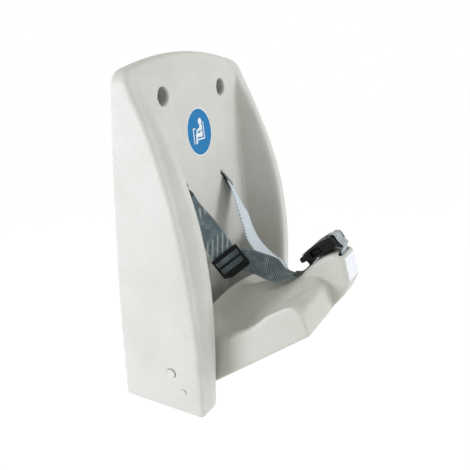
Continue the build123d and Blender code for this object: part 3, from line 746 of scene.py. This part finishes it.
def relax(mesh: bpy.types.Mesh, share: np.ndarray | float, passes: int) -> None:
    """Rounds a mesh by moving each point towards the mean of its neighbours.

    Args:
        mesh: Mesh to change.
        share: Share of the way that each point goes in a pass.
        passes: Number of passes.
    """
    ends = np.zeros(len(mesh.edges) * 2, np.int32)
    mesh.edges.foreach_get("vertices", ends)
    first, second = ends.reshape(-1, 2).T
    points, count = points_of(mesh), len(mesh.vertices)
    links = np.bincount(first, minlength=count) + np.bincount(second, minlength=count)
    links = np.maximum(links, 1)
    for _ in range(passes):
        for axis in range(3):
            column = points[:, axis]
            total = np.bincount(first, column[second], count) + np.bincount(second, column[first], count)
            points[:, axis] = column + share * (total / links - column)
    set_points(mesh, points)


def near(points: np.ndarray, centre: Vector, radius: float, fade: float) -> np.ndarray:
    """1 within a radius of a centre, falling to 0 over the fade beyond it."""
    reach = np.linalg.norm(points - np.array(centre), axis=1)
    return np.clip((radius + fade - reach) / fade, 0, 1)


def smooth_line(points: Sequence[Vector], step: float, samples: int = 24) -> tuple[np.ndarray, np.ndarray]:
    """Evenly spaced points on a smooth line through the given ones.

    Args:
        points: Points that the line passes through.
        step: Distance between the new points.
        samples: Number of places worked out between two given points.

    Returns:
        The new points, and the place of each among the old ones as a fractional number.
    """
    knots = np.array([tuple(p) for p in points], float)
    padded = np.vstack([2 * knots[0] - knots[1], knots, 2 * knots[-1] - knots[-2]])
    fine, where = [], []
    for index in range(len(knots) - 1):
        p0, p1, p2, p3 = padded[index:index + 4]
        t0 = 0.0
        spans = ((p0, p1), (p1, p2), (p2, p3))
        t1, t2, t3 = np.cumsum([np.linalg.norm(b - a) ** 0.5 + 1e-9 for a, b in spans])
        for t in np.linspace(t1, t2, samples, endpoint=index == len(knots) - 2):
            a1 = (t1 - t) / (t1 - t0) * p0 + (t - t0) / (t1 - t0) * p1
            a2 = (t2 - t) / (t2 - t1) * p1 + (t - t1) / (t2 - t1) * p2
            a3 = (t3 - t) / (t3 - t2) * p2 + (t - t2) / (t3 - t2) * p3
            b1 = (t2 - t) / (t2 - t0) * a1 + (t - t0) / (t2 - t0) * a2
            b2 = (t3 - t) / (t3 - t1) * a2 + (t - t1) / (t3 - t1) * a3
            fine.append((t2 - t) / (t2 - t1) * b1 + (t - t1) / (t2 - t1) * b2)
            where.append(index + (t - t1) / (t2 - t1))
    fine = np.array(fine)
    lengths = np.concatenate([[0], np.cumsum(np.linalg.norm(np.diff(fine, axis=0), axis=1))])
    count = max(2, round(lengths[-1] / step) + 1)
    even = np.linspace(0, lengths[-1], count)
    line = np.stack([np.interp(even, lengths, fine[:, axis]) for axis in range(3)], axis=1)
    return line, np.interp(even, lengths, where)


def unit_rows(rows: np.ndarray) -> np.ndarray:
    """Rows scaled to a length of 1."""
    return rows / np.linalg.norm(rows, axis=1)[:, None]


@dataclass
class Strap:
    """A length of flat webbing along a route."""

    name: str
    route: Sequence[Point]
    across: Sequence[Point]  # direction across the webbing at each point of the route
    finish: Finish
    width: float = 38.0
    thickness: float = 1.23
    widths: Sequence[float] | None = None  # share of the width at each point, where it is gathered
    columns: int = 22
    step: float = 1.1
    ease_passes: int = 6  # how much the turning of the webbing is evened out
    edge_power: int = 14  # how squarely the section ends
    bead_height: float = 0.22  # the selvedge's bead, as shares of the half thickness and half width
    bead_place: float = 0.93
    bead_width: float = 0.035

    def build(self) -> bpy.types.Object:
        """Builds the strap.

        Returns:
            The strap's object, with its across and along stored for the weave.
        """
        line, where = smooth_line([place(*point) for point in self.route], self.step * MM)
        wide = np.array([tuple(heading(*direction)) for direction in self.across])
        eased = np.stack([np.interp(where, range(len(wide)), wide[:, axis]) for axis in range(3)], axis=1)
        along = unit_rows(np.gradient(line, axis=0))
        eased = unit_rows(eased - along * (eased * along).sum(1)[:, None])
        for _ in range(self.ease_passes):
            eased[1:-1] = (eased[:-2] + 2 * eased[1:-1] + eased[2:]) / 4
        eased = unit_rows(eased)
        shares = self.widths if self.widths is not None else [1.0] * len(self.route)
        gather = np.interp(where, range(len(shares)), shares)[:, None]
        return self._sweep(line, eased * gather, unit_rows(np.cross(eased, along)))

    def _sweep(self, line: np.ndarray, wide: np.ndarray, out: np.ndarray) -> bpy.types.Object:
        """Sweeps the webbing's section, with its rounded selvedges, along the line.

        Args:
            line: Points along the strap's middle.
            wide: Direction across it at each, as long as the share of its width there.
            out: Direction out of its face at each.

        Returns:
            The strap's object.
        """
        shares = np.sin(np.linspace(-1, 1, self.columns) * math.pi / 2)
        half, thick = self.width / 2 * MM, self.thickness / 2 * MM
        bead = self.bead_height * np.exp(-((np.abs(shares) - self.bead_place) / self.bead_width) ** 2)
        heights = thick * ((1 - np.abs(shares) ** self.edge_power) ** 0.5 + bead)
        upper = [(share * half, height, 1) for share, height in zip(shares, heights)]
        section = upper + [(u, -height, -1) for u, height, _ in upper[-2:0:-1]]
        run = np.concatenate([[0], np.cumsum(np.linalg.norm(np.diff(line, axis=0), axis=1))])
        verts = [point + wide[index] * u + out[index] * t
                 for index, point in enumerate(line) for u, t, _ in section]
        spots = [(u, distance, side) for distance in run for u, _, side in section]
        ring, rows = len(section), len(line)
        links = [(c, (c + 1) % ring) for c in range(ring)]
        faces = [(r * ring + c, r * ring + n, (r + 1) * ring + n, (r + 1) * ring + c)
                 for r in range(rows - 1) for c, n in links]
        faces += [tuple(range(ring))[::-1], tuple(range((rows - 1) * ring, rows * ring))]
        mesh = mesh_from(self.name, verts, faces)
        store(mesh, "strap_place", spots)
        face_outward(mesh)
        return add_object(self.name, mesh, self.finish)


def dress(node: bpy.types.Object, finish: Finish, bevel: float, angle: float = 28.0) -> None:
    """Gives a CAD node its finish and softened edges.

    Args:
        node: The node.
        finish: Its finish.
        bevel: Width of the softened edges, in mm.
        angle: Least angle of an edge that is softened, in degrees.
    """
    node.data.materials.clear()
    node.data.materials.append(finish.get())
    weld = node.modifiers.new("weld", "WELD")
    weld.merge_threshold = WELD
    edges = node.modifiers.new("edges", "BEVEL")
    edges.width, edges.segments, edges.limit_method = bevel * MM, 3, "ANGLE"
    edges.angle_limit = math.radians(angle)
    edges.harden_normals = False
    LOG.info("dressed %s", node.name)


# Sub-assemblies


@dataclass(frozen=True)
class RimCrest:
    """Raised inner part of the wings' front rims, highest beside the belts and none at the ends."""

    rise: float = 14.0
    foot_rise: float = 1.5
    skew: float = 1.3  # how far up the wing the highest place lies
    depth: float = 136.5
    bends: Point = (0.1046, 0.224, 0.493)  # how the rim comes back to the wall, by powers of the height
    top: float = 471.0
    foot_half: float = 158.5
    widest_half: float = 168.2
    widest_height: float = 266.0
    reach: float = 15.0
    start: float = 7.0  # where the crest starts and is full, inward from the wing's side
    end: float = 22.0
    lowest: float = 6.0
    drop: float = 4.5  # how far the foot comes down, and up to what height
    drop_height: float = 70.0

    def lift(self, points: np.ndarray) -> np.ndarray:
        """Moves a back moulding's points forward where they lie on the crest.

        Args:
            points: Points in metres, as rows.

        Returns:
            The moved points.
        """
        side, forward = np.abs(points[:, 0]) / MM, -points[:, 1] / MM
        height = points[:, 2] / MM + PATTERN_HEIGHT
        share = np.clip(height / self.top, 0, 1)
        rim = self.depth * (1 - sum(bend * share ** (power + 1) for power, bend in enumerate(self.bends)))
        span = height / self.widest_height
        half = self.foot_half + (self.widest_half - self.foot_half) * span * (2 - span)
        inward = np.clip((half - side - self.start) / (self.end - self.start), 0, 1)
        ease = inward * inward * (3 - 2 * inward)
        outward = np.clip((forward - rim + self.reach) / self.reach, 0, 1)
        rise = self.rise * np.sin(math.pi * share ** self.skew) + self.foot_rise * (1 - share)
        lifted = points.copy()
        lifted[:, 1] -= rise * ease * outward * (height > self.lowest) * MM
        lifted[:, 2] -= self.drop * np.clip(1 - height / self.drop_height, 0, 1) ** 2 * MM
        return lifted


@dataclass
class Moulding:
    """A hollow moulded shell, remade from its CAD node with a rotational mould's soft edges."""

    node: str
    name: str
    body: str
    slot: str
    finish: Finish
    voxel: float = 1.7
    quick_scale: float = 1.3
    passes: int = 6
    soft_share: float = 0.5
    crisp: Sequence[tuple[Point, float]] = ()  # middle and radius of each place that stays crisp
    crisp_share: float = 0.12
    crisp_fade: float = 8.0
    crest: RimCrest | None = None

    def build(self, nodes: dict[str, bpy.types.Object]) -> bpy.types.Object:
        """Builds the shell's skin and hides the node.

        Args:
            nodes: The frame's nodes.

        Returns:
            The skin.
        """
        voxel = self.voxel * MM * 1.0
        mesh = remeshed(outer_island(nodes[self.node].data), voxel)
        points = points_of(mesh)
        if self.crest is not None:
            points = self.crest.lift(points)
            set_points(mesh, points)
        share = np.full(len(points), self.soft_share)
        for centre, radius in self.crisp:
            hold = near(points, place(*centre), radius * MM, self.crisp_fade * MM)
            share = np.minimum(share, self.soft_share - (self.soft_share - self.crisp_share) * hold)
        relax(mesh, share, self.passes)
        skin = add_object(self.name, mesh, self.finish)
        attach(skin, self.body)
        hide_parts(self.node)
        LOG.info("%s: %d points", self.name, len(mesh.vertices))
        return skin


@dataclass
class Hinge:
    """Rod, bushes, caps, vents, stop pads and strap bars, which keep their CAD shapes."""

    bevel: float = 0.4
    finishes: dict[str, Finish] = field(default_factory=lambda: {
        "hinge_rod": Finish.STEEL, "hinge_bush": Finish.NYLON, "rod_cap": Finish.CAP,
        "vent_plug": Finish.CAP, "stop_pad": Finish.RUBBER, "belt_anchor_bar": Finish.STEEL,
        "nose_strap_bar": Finish.STEEL})

    def build(self, nodes: dict[str, bpy.types.Object]) -> None:
        """Dresses each node whose name starts with one of the finishes' keys.

        Args:
            nodes: The frame's nodes.
        """
        for name, node in nodes.items():
            for start, finish in self.finishes.items():
                if name.startswith(start):
                    dress(node, finish, self.bevel)


@dataclass
class Pictogram:
    """Printed disc on the leaning panel above the belts."""

    radius: float = 36.5
    thickness: float = 0.6
    corner: float = 0.25
    corner_share: float = 0.6  # share of the thickness at which the corner starts
    rings: int = 18
    segments: int = 96

    def build(self) -> bpy.types.Object:
        """Builds the disc on the panel.

        Returns:
            The disc.
        """
        low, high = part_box("pictogram_disc")
        normal = heading(0, math.cos(PANEL_LEAN), math.sin(PANEL_LEAN))
        centre = (low + high) / 2 - normal * self.thickness / 2 * MM
        right = Vector((1, 0, 0))
        up = normal.cross(right).normalized()
        profile = [(self.radius, 0.0), (self.radius, self.thickness * self.corner_share),
                   (self.radius - self.corner, self.thickness)]
        profile += [(self.radius * ring / self.rings, self.thickness)
                    for ring in range(self.rings - 1, 0, -1)]
        count = self.segments
        turns = [2 * math.pi * segment / count for segment in range(count)]
        spots = [(radius * math.cos(turn) * MM, radius * math.sin(turn) * MM, height)
                 for radius, height in profile for turn in turns]
        spots += [(0.0, 0.0, self.thickness), (0.0, 0.0, 0.0)]
        verts = [centre + right * x + up * y + normal * height * MM for x, y, height in spots]
        faces = []
        for row in range(len(profile) - 1):
            for c in range(count):
                n = (c + 1) % count
                faces.append((row * count + c, row * count + n, (row + 1) * count + n, (row + 1) * count + c))
        last = (len(profile) - 1) * count
        faces += [(last + c, last + (c + 1) % count, len(verts) - 2) for c in range(count)]
        faces += [((c + 1) % count, c, len(verts) - 1) for c in range(count)]
        mesh = mesh_from("pictogram", verts, faces)
        store(mesh, "print_place", [(x, y, 0.0) for x, y, _ in spots])
        disc = add_object("pictogram", mesh, Finish.DISC)
        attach(disc, "back")
        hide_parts("pictogram_disc")
        return disc


@dataclass
class NoseLabel:
    """Bare film label that follows the nose's front face."""

    width: float = 44.0
    height: float = 36.0
    thickness: float = 0.8
    lift: float = 0.45
    corner: float = 3.0
    columns: int = 30
    rows: int = 26
    clear: float = 30.0  # how far off the nose the label is held before it is laid on
    fall: float = 80.0
    soft_share: float = 0.4
    passes: int = 2

    def _spot(self, column: int, row: int) -> Spot:
        """Place of one point on the flat label, with its corners rounded.

        Args:
            column: Number of the point's column.
            row: Number of its row.

        Returns:
            Its right and up from the label's middle, in mm.
        """
        half_w, half_h = self.width / 2, self.height / 2
        x = -half_w + self.width * column / (self.columns - 1)
        y = -half_h + self.height * row / (self.rows - 1)
        over_x, over_y = abs(x) - (half_w - self.corner), abs(y) - (half_h - self.corner)
        if over_x > 0 and over_y > 0:
            pull = min(1.0, self.corner / max(math.hypot(over_x, over_y), 1e-6))
            x = math.copysign(half_w - self.corner + over_x * pull, x)
            y = math.copysign(half_h - self.corner + over_y * pull, y)
        return x, y

    def build(self, node: bpy.types.Object, skin: bpy.types.Object) -> bpy.types.Object:
        """Builds the label over its CAD node, laid on the seat's skin.

        Args:
            node: The label's CAD node.
            skin: The seat's skin.

        Returns:
            The label.
        """
        low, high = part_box(node.name)
        centre = (low + high) / 2
        right = Vector((1, 0, 0))
        _, front = max((p.area, tuple(p.normal)) for p in node.data.polygons if p.normal.y < 0)
        normal = Vector(front).normalized()
        up = normal.cross(right).normalized()
        tree = BVHTree.FromObject(skin, bpy.context.evaluated_depsgraph_get())
        verts, spots = [], []
        for row in range(self.rows):
            for column in range(self.columns):
                x, y = self._spot(column, row)
                flat = centre + right * x * MM + up * y * MM
                hit, _, _, _ = tree.ray_cast(flat + normal * self.clear * MM, -normal, self.fall * MM)
                verts.append((hit if hit is not None else flat) + normal * self.lift * MM)
                spots.append((x * MM, y * MM, 0.0))
        corners = [r * self.columns + c for r in range(self.rows - 1) for c in range(self.columns - 1)]
        faces = [(i, i + 1, i + self.columns + 1, i + self.columns) for i in corners]
        mesh = mesh_from("nose_label", verts, faces)
        store(mesh, "print_place", spots)
        relax(mesh, self.soft_share, self.passes)
        label = add_object("nose_label", mesh, Finish.PLATE)
        film = label.modifiers.new("thickness", "SOLIDIFY")
        film.thickness, film.offset = self.thickness * MM, -1.0
        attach(label, "seat")
        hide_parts("label_plate")
        return label


@dataclass
class BuckleShell:
    """Tongue or socket of the buckle, with a bowed top and a tongue that thins to its rear."""

    node: str
    name: str
    body: str
    mouth: float = 24.4  # where the socket starts, from the buckle's rear
    shortening: float = 0.68
    thinning: float = 0.3
    thinning_power: float = 1.3
    middle: float = 46.0  # middle and half length of the bowed top
    half_length: float = 24.0
    bow: float = 1.5
    half_height: float = 8.0
    end_thinning: float = 0.16
    end_power: int = 3
    voxel: float = 0.6
    soft_share: float = 0.5
    passes: int = 3

    def build(self, nodes: dict[str, bpy.types.Object]) -> bpy.types.Object:
        """Remakes the node's mesh with softer shapes and hides the node.

        Args:
            nodes: The frame's nodes.

        Returns:
            The shell.
        """
        mesh = remeshed(nodes[self.node].data.copy(), self.voxel * MM)
        points = points_of(mesh)
        ahead, above = np.array(heading(*BUCKLE_AHEAD)), np.array(heading(*BUCKLE_ABOVE))
        offset = points - np.array(place(*BUCKLE_REAR))
        along, up = offset @ ahead / MM, offset @ above / MM
        behind = np.clip(self.mouth - along, 0, None)
        thin = 1 - self.thinning * np.clip(behind / self.mouth, 0, 1) ** self.thinning_power
        span = (along - self.middle) / self.half_length
        bow = self.bow * np.clip(1 - span ** 2, 0, 1) * np.clip(up / self.half_height, 0, 1)
        ends = 1 - self.end_thinning * np.clip(np.abs(span), 0, 1) ** self.end_power
        forward = behind * (1 - self.shortening)
        outward = up * thin * ends + bow - up
        points += np.outer(forward * MM, ahead) + np.outer(outward * MM, above)
        set_points(mesh, points)
        relax(mesh, self.soft_share, self.passes)
        shell = add_object(self.name, mesh, Finish.BUCKLE)
        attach(shell, self.body)
        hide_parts(self.node)
        return shell


@dataclass
class LadderAdjuster:
    """Two-window frame that grips the left belt, with a heavier lever end on its lower side."""

    top: Point = (-48.1, 116.4, 203.6)  # two places on the belt, which give the frame's direction
    bottom: Point = (-42.4, 128.4, 185.8)
    face: Point = (-0.75, -0.38, 0.35)  # roughly where its front looks, in the row frame
    half_width: float = 23.0
    height: float = 3.6
    side_bar: float = 3.6
    upper_bar: Spot = (-17.0, -11.0)  # where each bar lies along the belt, from the frame's middle
    middle_bar: Spot = (-1.2, 1.4)
    middle_inset: float = 0.4
    side_end: float = 13.0
    lever: Spot = (11.5, 21.0)
    lever_rise: float = 0.8
    lever_cuts: Sequence[Spot] = ((3.0, 2.5), (11.0, 6.0))
    voxel: float = 0.55
    soft_share: float = 0.5
    passes: int = 2

    def _plates(self) -> list[tuple[list[Spot], float, float]]:
        """Plates that make up the frame.

        Returns:
            Outline of each across and along the belt, and its floor and roof.
        """
        half, side, roof = self.half_width, self.side_bar, self.height
        (start, bar_end), (bar_low, bar_high), (edge, end) = self.upper_bar, self.middle_bar, self.lever
        (cut_x, cut_y), (wide_x, wide_y) = self.lever_cuts
        boxes = [(-half, half, start, bar_end, 0.0, roof),
                 (-half, -half + side, start, self.side_end, 0.0, roof),
                 (half - side, half, start, self.side_end, 0.0, roof),
                 (-half, half, bar_low, bar_high, self.middle_inset, roof - self.middle_inset)]
        plates = [([(x0, y0), (x1, y0), (x1, y1), (x0, y1)], low, high)
                  for x0, x1, y0, y1, low, high in boxes]
        lever = [(-half, edge), (half, edge), (half, end - cut_y), (half - cut_x, end),
                 (-half + wide_x, end), (-half, end - wide_y)]
        return plates + [(lever, 0.0, roof + self.lever_rise)]

    def build(self) -> bpy.types.Object:
        """Builds the frame of bars and a lever plate, merged and softened.

        Returns:
            The frame.
        """
        low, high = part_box("adjuster_frame")
        centre = (low + high) / 2
        along = (place(*self.bottom) - place(*self.top)).normalized()
        wide = heading(*ADJUSTER_ACROSS)
        wide = (wide - along * wide.dot(along)).normalized()
        outward = along.cross(wide)
        outward *= 1 if outward.dot(Vector(self.face)) > 0 else -1
        verts, faces = [], []
        for outline, floor, roof in self._plates():
            first, count = len(verts), len(outline)
            for level in (floor, roof):
                for across, down in outline:
                    lift = (level - self.height / 2) * MM
                    verts.append(centre + wide * across * MM + along * down * MM + outward * lift)
            faces.append(tuple(range(first, first + count)))
            faces.append(tuple(range(first + 2 * count - 1, first + count - 1, -1)))
            for i in range(count):
                j = (i + 1) % count
                faces.append((first + j, first + i, first + count + i, first + count + j))
        bars = mesh_from("bars", verts, faces)
        face_outward(bars)
        mesh = remeshed(bars, self.voxel * MM)
        relax(mesh, self.soft_share, self.passes)
        frame = add_object("ladder_adjuster", mesh, Finish.BUCKLE)
        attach(frame, "adjuster")
        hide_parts("adjuster_frame")
        return frame


@dataclass
class Harness:
    """The belts, their adjuster, the buckle and the short straps at both its ends."""

    upper_route: Sequence[Point] = ((-SLOT_SIDE, 13.0, SLOT_HEIGHT), (-SLOT_SIDE, 38.0, 296.6),
                                    (-SLOT_SIDE, 50.5, 294.6), (-66.8, 63.0, 277.0), (-59.5, 89.0, 246.5),
                                    (-52.6, 106.7, 219.2), (-47.5, 117.6, 202.2), (-43.6, 125.9, 189.5))
    upper_across: Sequence[Point] = (SLOT_LEFT, SLOT_LEFT, SLOT_LEFT, (0.75, 0.2, 0.6), (0.66, 0.42, 0.58),
                                     ADJUSTER_ACROSS, ADJUSTER_ACROSS, ADJUSTER_ACROSS)
    lower_route: Sequence[Point] = ((-38.2, 122.4, 200.2), (-28.0, 135.8, 201.2), (-22.0, 161.8, 195.6),
                                    (-15.0, 178.0, 188.2), (-8.0, 192.0, 182.8), (0.0, 210.0, 182.0))
    lower_across: Sequence[Point] = ((0.0, 0.0, 1.0), (0.0, 0.1, 1.0), (0.1, 0.2, 1.0), (0.5, 0.0, 0.85),
                                     (0.95, 0.0, 0.3), (1.0, 0.0, -0.1))
    lower_widths: Sequence[float] = (1.0, 1.0, 1.0, 0.95, 0.7, 0.5)
    right_route: Sequence[Point] = ((SLOT_SIDE, 13.0, SLOT_HEIGHT), (SLOT_SIDE, 38.0, 296.6),
                                    (SLOT_SIDE, 50.5, 294.6), (63.0, 66.5, 279.0), (56.0, 79.5, 264.0),
                                    (48.5, 92.5, 248.0), (43.5, 103.0, 230.0), (36.5, 117.0, 211.0),
                                    (27.0, 142.0, 194.5), (17.5, 167.0, 186.0), (10.0, 186.0, 178.5),
                                    (4.0, 201.0, 178.0))
    right_across: Sequence[Point] = (SLOT_RIGHT, SLOT_RIGHT, SLOT_RIGHT, (-0.86, 0.14, 0.49),
                                     (-0.88, 0.02, 0.47), (-0.94, -0.04, 0.33), (-0.95, -0.01, 0.30),
                                     (-0.95, -0.17, 0.24), (-0.95, -0.26, 0.18), (-0.93, -0.3, 0.05),
                                     (-0.97, 0.0, 0.1), (-1.0, 0.0, 0.0))
    right_widths: Sequence[float] = (1.0,) * 9 + (0.95, 0.6, 0.45)
    tab_route: Sequence[Point] = (buckle_point(11.5, 5.0), buckle_point(14.5, 5.4), buckle_point(15.5, 0.0),
                                  buckle_point(14.5, -5.5), (0.0, 233.0, 208.8), (0.0, 229.5, 203.2),
                                  (0.0, 222.0, 192.6), (0.0, 213.0, 185.0), (0.0, 205.0, 184.6))
    tab_widths: Sequence[float] = (0.9, 0.9, 0.9, 1.0, 1.0, 1.0, 0.9, 0.7, 0.5)
    sideways: Point = (1.0, 0.0, 0.0)
    strap_loop: Sequence[Spot] = ((63.95, -9.75), (63.95, 8.9), (67.3, 9.9), (71.4, 6.8), (71.6, -4.0))
    strap_gap: float = 1.4  # between each run of the nose strap and its bar's middle
    strap_lap: float = 5.0  # how far below the bar's middle both its ends lie
    strap_exit: float = 241.0  # height at which it comes out of the nose
    strap_bulge: Spot = (2.2, 246.0)
    tab_width: float = 32.0
    strap_width: float = 24.0
    prong_bevel: float = 0.6

    def _tab(self) -> None:
        """Builds the dark tab behind the buckle."""
        tab = Strap("buckle_tab", self.tab_route, (self.sideways,) * len(self.tab_route), Finish.DARK,
                    width=self.tab_width, widths=self.tab_widths).build()
        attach(tab, "tongue")
        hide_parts("tab_webbing")

    def _nose_strap(self) -> None:
        """Builds the pale strap that loops from its bar in the nose through the buckle's end."""
        low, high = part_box("nose_strap_bar")
        slot = -(low.y + high.y) / 2 / MM
        height = (low.z + high.z) / 2 / MM + PATTERN_HEIGHT
        rear, front, end = slot - self.strap_gap, slot + self.strap_gap, height - self.strap_lap
        bulge, bulge_height = self.strap_bulge
        route = ((0.0, rear, end), (0.0, rear, self.strap_exit),
                 *[buckle_point(*spot) for spot in self.strap_loop],
                 (0.0, slot + bulge, bulge_height), (0.0, front, self.strap_exit), (0.0, front, end))
        strap = Strap("nose_strap", route, (self.sideways,) * len(route), Finish.PALE,
                      width=self.strap_width).build()
        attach(strap, "seat")
        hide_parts("front_strap")

    def _belts(self) -> None:
        """Builds the two lengths of the left belt, and the right belt."""
        upper = Strap("left_belt_upper", self.upper_route, self.upper_across, Finish.LEFT).build()
        place(-69.7, 54.8, 296.2)
        place(-52.6, 106.7, 219.2)
        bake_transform(upper)
        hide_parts("belt_left_upper")
        lower = Strap("left_belt_lower", self.lower_route, self.lower_across, Finish.LOWER,
                      widths=self.lower_widths).build()
        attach(lower, "seat")
        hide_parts("belt_left_lower")
        tuple(place(-10, 193, 184.5))
        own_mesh(lower)
        right = Strap("right_belt", self.right_route, self.right_across, Finish.RIGHT,
                      widths=self.right_widths).build()
        place(69.7, 54.8, 296.2)
        place(10, 193, 189)
        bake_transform(right)
        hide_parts("belt_right")

    def build(self, nodes: dict[str, bpy.types.Object]) -> None:
        """Builds every part of the harness.

        Args:
            nodes: The frame's nodes.
        """
        self._belts()
        LadderAdjuster().build()
        for name in ("buckle_prong_left", "buckle_prong_right"):
            dress(nodes[name], Finish.BUCKLE, self.prong_bevel)
        BuckleShell("buckle_tongue", "buckle_tongue_skin", "tongue").build(nodes)
        BuckleShell("buckle_socket", "buckle_socket_skin", "seat").build(nodes)
        self._tab()
        self._nose_strap()
        LOG.info("harness built")


# Studio


@dataclass(frozen=True)
class Softbox:
    """Square lamp, its place and size in metres."""

    name: str
    spot: Point
    size: float
    watts: float
    tint: Colour

    def build(self, target: Vector) -> None:
        """Hangs the lamp.

        Args:
            target: Point that it is aimed at.
        """
        lamp = bpy.data.lights.new(self.name, "AREA")
        lamp.shape, lamp.size, lamp.energy, lamp.color = "SQUARE", self.size, self.watts, self.tint
        obj = bpy.data.objects.new(self.name, lamp)
        obj.location = self.spot
        obj.rotation_euler = (target - Vector(self.spot)).to_track_quat("-Z", "Y").to_euler()
        bpy.context.scene.collection.objects.link(obj)


@dataclass
class Studio:
    """Floor, lamps, world and camera."""

    floor_drop: float = 0.62
    floor_half: float = 6.0
    paper: Colour = (0.9, 0.9, 0.9)
    paper_roughness: float = 0.9
    glow: float = 1.05  # strength at which the floor shows white
    glow_share: float = 0.9  # the rest is paper, which takes the shadow
    target: Point = (0.0, 80.0, 250.0)
    room_colour: tuple[float, ...] = (1.0, 0.995, 0.92, 1.0)
    room_strength: float = 0.5
    lamps: Sequence[Softbox] = (
        Softbox("left_softbox", (-1.70, 1.05, 0.15), 1.0, 28.0, (0.90, 0.95, 1.0)),
        Softbox("top_softbox", (0.1, -0.35, 1.6), 0.8, 2.5, (1.0, 1.0, 1.0)),
        Softbox("front_key", (0.95, -2.15, 0.55), 1.1, 18.0, (0.93, 0.975, 1.0)),
        Softbox("low_fill", (-0.05, -1.55, -0.50), 0.9, 6.0, (0.93, 0.97, 1.0)))
    lens: float = 45.15
    sensor: float = 36.0
    clip: Spot = (0.02, 30.0)
    eye: Point = (-779.8, 493.8, 539.5)
    gaze: Point = (0.8410, 0.4230, -0.3370)
    roll: float = 1.05  # degrees

    def build(self) -> None:
        """Builds the studio round the object."""
        self._world()
        self._floor()
        for lamp in self.lamps:
            lamp.build(place(*self.target))
        self._camera()

    def _world(self) -> None:
        """Even light from all round, and plain white behind the object."""
        world = bpy.data.worlds.new("studio")
        bpy.context.scene.world = world
        board = Board(world)
        room = board.node("ShaderNodeBackground", {},
                          {"Color": self.room_colour, "Strength": self.room_strength})
        white = board.node("ShaderNodeBackground", {}, {"Color": WHITE})
        mix = board.node("ShaderNodeMixShader", {},
                         {0: board.seen(), 1: room.outputs[0], 2: white.outputs[0]})
        board.node("ShaderNodeOutputWorld", {}, {"Surface": mix.outputs[0]})

    def _floor(self) -> None:
        """Pale floor under the object, white to the camera save for the shadow."""
        corners = [(x * self.floor_half, y * self.floor_half, -self.floor_drop)
                   for x, y in ((-1, -1), (1, -1), (1, 1), (-1, 1))]
        floor = add_object("floor", mesh_from("floor", corners, [(0, 1, 2, 3)]))
        board = Board(bpy.data.materials.new("floor_paper"))
        paper = board.node("ShaderNodeBsdfPrincipled", {},
                           {"Base Color": (*self.paper, 1.0), "Roughness": self.paper_roughness})
        glow = board.node("ShaderNodeEmission", {}, {"Color": WHITE, "Strength": self.glow})
        mix = board.node("ShaderNodeMixShader", {},
                         {0: board.seen() * self.glow_share, 1: paper.outputs[0], 2: glow.outputs[0]})
        board.node("ShaderNodeOutputMaterial", {}, {"Surface": mix.outputs[0]})
        floor.data.materials.append(board.owner)

    def _camera(self) -> None:
        """Camera at the photograph's viewing angle."""
        camera = bpy.data.cameras.new("camera")
        camera.sensor_width, camera.lens = self.sensor, self.lens
        camera.clip_start, camera.clip_end = self.clip
        obj = bpy.data.objects.new("camera", camera)
        bpy.context.scene.collection.objects.link(obj)
        ahead = Vector(self.gaze).normalized()
        level = ahead.cross(Vector((0, 0, 1))).normalized()
        upright = level.cross(ahead)
        cos, sin = math.cos(math.radians(self.roll)), math.sin(math.radians(self.roll))
        axes = (level * cos + upright * sin, upright * cos - level * sin, -ahead)
        obj.matrix_world = Matrix.Translation(place(*self.eye)) @ Matrix(axes).transposed().to_4x4()
        bpy.context.scene.camera = obj


def main() -> None:
    """Builds the studio and every sub-assembly in order."""
    logging.basicConfig(level=logging.INFO, format="%(name)s: %(message)s")
    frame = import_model()
    nodes = frame["nodes"]
    bpy.context.scene.view_settings.view_transform = "Standard"
    Studio().build()
    slots = [((side * SLOT_SIDE, SLOT_FACE, SLOT_HEIGHT), SLOT_REACH) for side in (-1, 1)]
    Moulding("back_shell", "back_skin", "back", "back_moulding", Finish.BACK,
             crisp=slots, crest=RimCrest()).build(nodes)
    seat = Moulding("seat_shell", "seat_skin", "seat", "seat_moulding", Finish.SEAT).build(nodes)
    Hinge().build(nodes)
    Pictogram().build()
    NoseLabel().build(nodes["label_plate"], seat)
    Harness().build(nodes)


if __name__ == "__main__":
    main()
